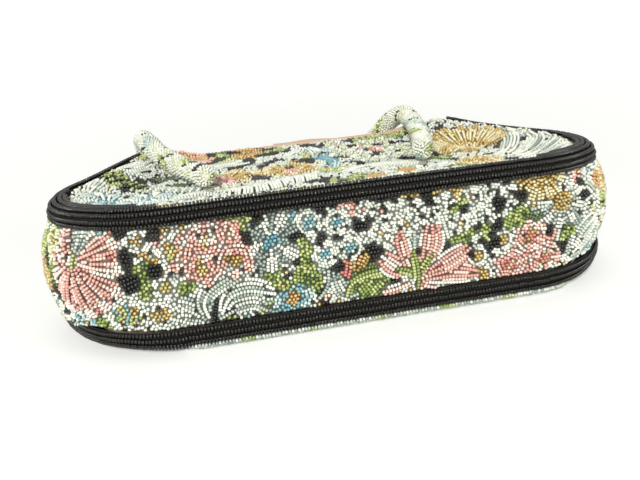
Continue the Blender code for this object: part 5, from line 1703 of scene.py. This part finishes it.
def camera():
    """Camera at the photo's viewing angle, with its lens and sensor in mm."""
    place = Vector(CAMERA_PLACE) * MM
    pan, tilt, roll = (RAD(turn) for turn in CAMERA_TURNS)
    ahead = Vector((math.sin(pan) * math.cos(tilt), math.cos(pan) * math.cos(tilt), -math.sin(tilt)))
    right = Vector((math.cos(pan), -math.sin(pan), 0.0))
    up = right.cross(ahead)
    turned_right = right * math.cos(roll) + up * math.sin(roll)
    turned_up = up * math.cos(roll) - right * math.sin(roll)
    lens = bpy.data.cameras.new("photo_camera")
    lens.lens, lens.sensor_width = LENS, SENSOR
    lens.clip_start, lens.clip_end = 0.01, 20.0
    made = new_object("photo_camera", lens)
    turn = Matrix((turned_right, turned_up, -ahead)).transposed().to_4x4()
    made.matrix_world = Matrix.Translation(place) @ turn
    bpy.context.scene.camera = made


def area_light(name, place, size, power):
    lamp = bpy.data.lights.new(name, "AREA")
    lamp.shape, lamp.size, lamp.energy = "DISK", size, power
    made = new_object(name, lamp)
    made.location = place
    made.rotation_euler = (Vector(LIT) - Vector(place)).to_track_quat("-Z", "Y").to_euler()


def floor():
    """White paper under the bag, which glows a little for the camera, and more with the distance."""
    work = bmesh.new()
    bmesh.ops.create_grid(work, x_segments=1, y_segments=1, size=60.0)
    mesh = bpy.data.meshes.new("floor")
    work.to_mesh(mesh)
    work.free()
    made, tree, shader = new_material("white_paper_sweep", {
        "Emission Color": WHITE_LIGHT, "Base Color": PAPER, "Roughness": 0.9})
    far = node(tree, "ShaderNodeVectorMath", {"operation": "LENGTH"}, coordinates(tree, "Object"))
    paler = node(tree, "ShaderNodeMapRange", {"From Min": 0.25, "From Max": 1.6, "To Min": 0.2, "To Max": 0.74},
                 Value=far.outputs["Value"])
    seen = node(tree, "ShaderNodeLightPath").outputs["Is Camera Ray"]
    glow = node(tree, "ShaderNodeMath", {"operation": "MULTIPLY"}, seen, paler.outputs["Result"])
    feed(tree, shader, Emission_Strength=glow.outputs["Value"])
    mesh.materials.append(made)
    new_object("floor", mesh)


def stage():
    """Floor, lamps, and a world that is white for the camera and in mirrors but gives less light."""
    floor()
    world = bpy.data.worlds.new("studio")
    bpy.context.scene.world = world
    world.use_nodes = True
    tree = world.node_tree
    back = tree.nodes["Background"]
    back.inputs["Color"].default_value = WHITE_LIGHT
    rays = node(tree, "ShaderNodeLightPath").outputs
    straight = node(tree, "ShaderNodeMath", {"operation": "MAXIMUM"},
                    rays["Is Camera Ray"], rays["Is Transmission Ray"])
    mirrored = node(tree, "ShaderNodeMath", {"operation": "MAXIMUM"},
                    straight.outputs["Value"], rays["Is Glossy Ray"])
    level = node(tree, "ShaderNodeMapRange", {"To Min": 0.33, "To Max": 1.0}, Value=mirrored.outputs["Value"])
    feed(tree, back, Strength=level.outputs["Result"])
    for lamp in LAMPS:
        area_light(*lamp)


bpy.context.scene.view_settings.view_transform = "Standard"
camera()
stage()
beaded_cloth()
trims()
handles()
linings()
zip_parts()
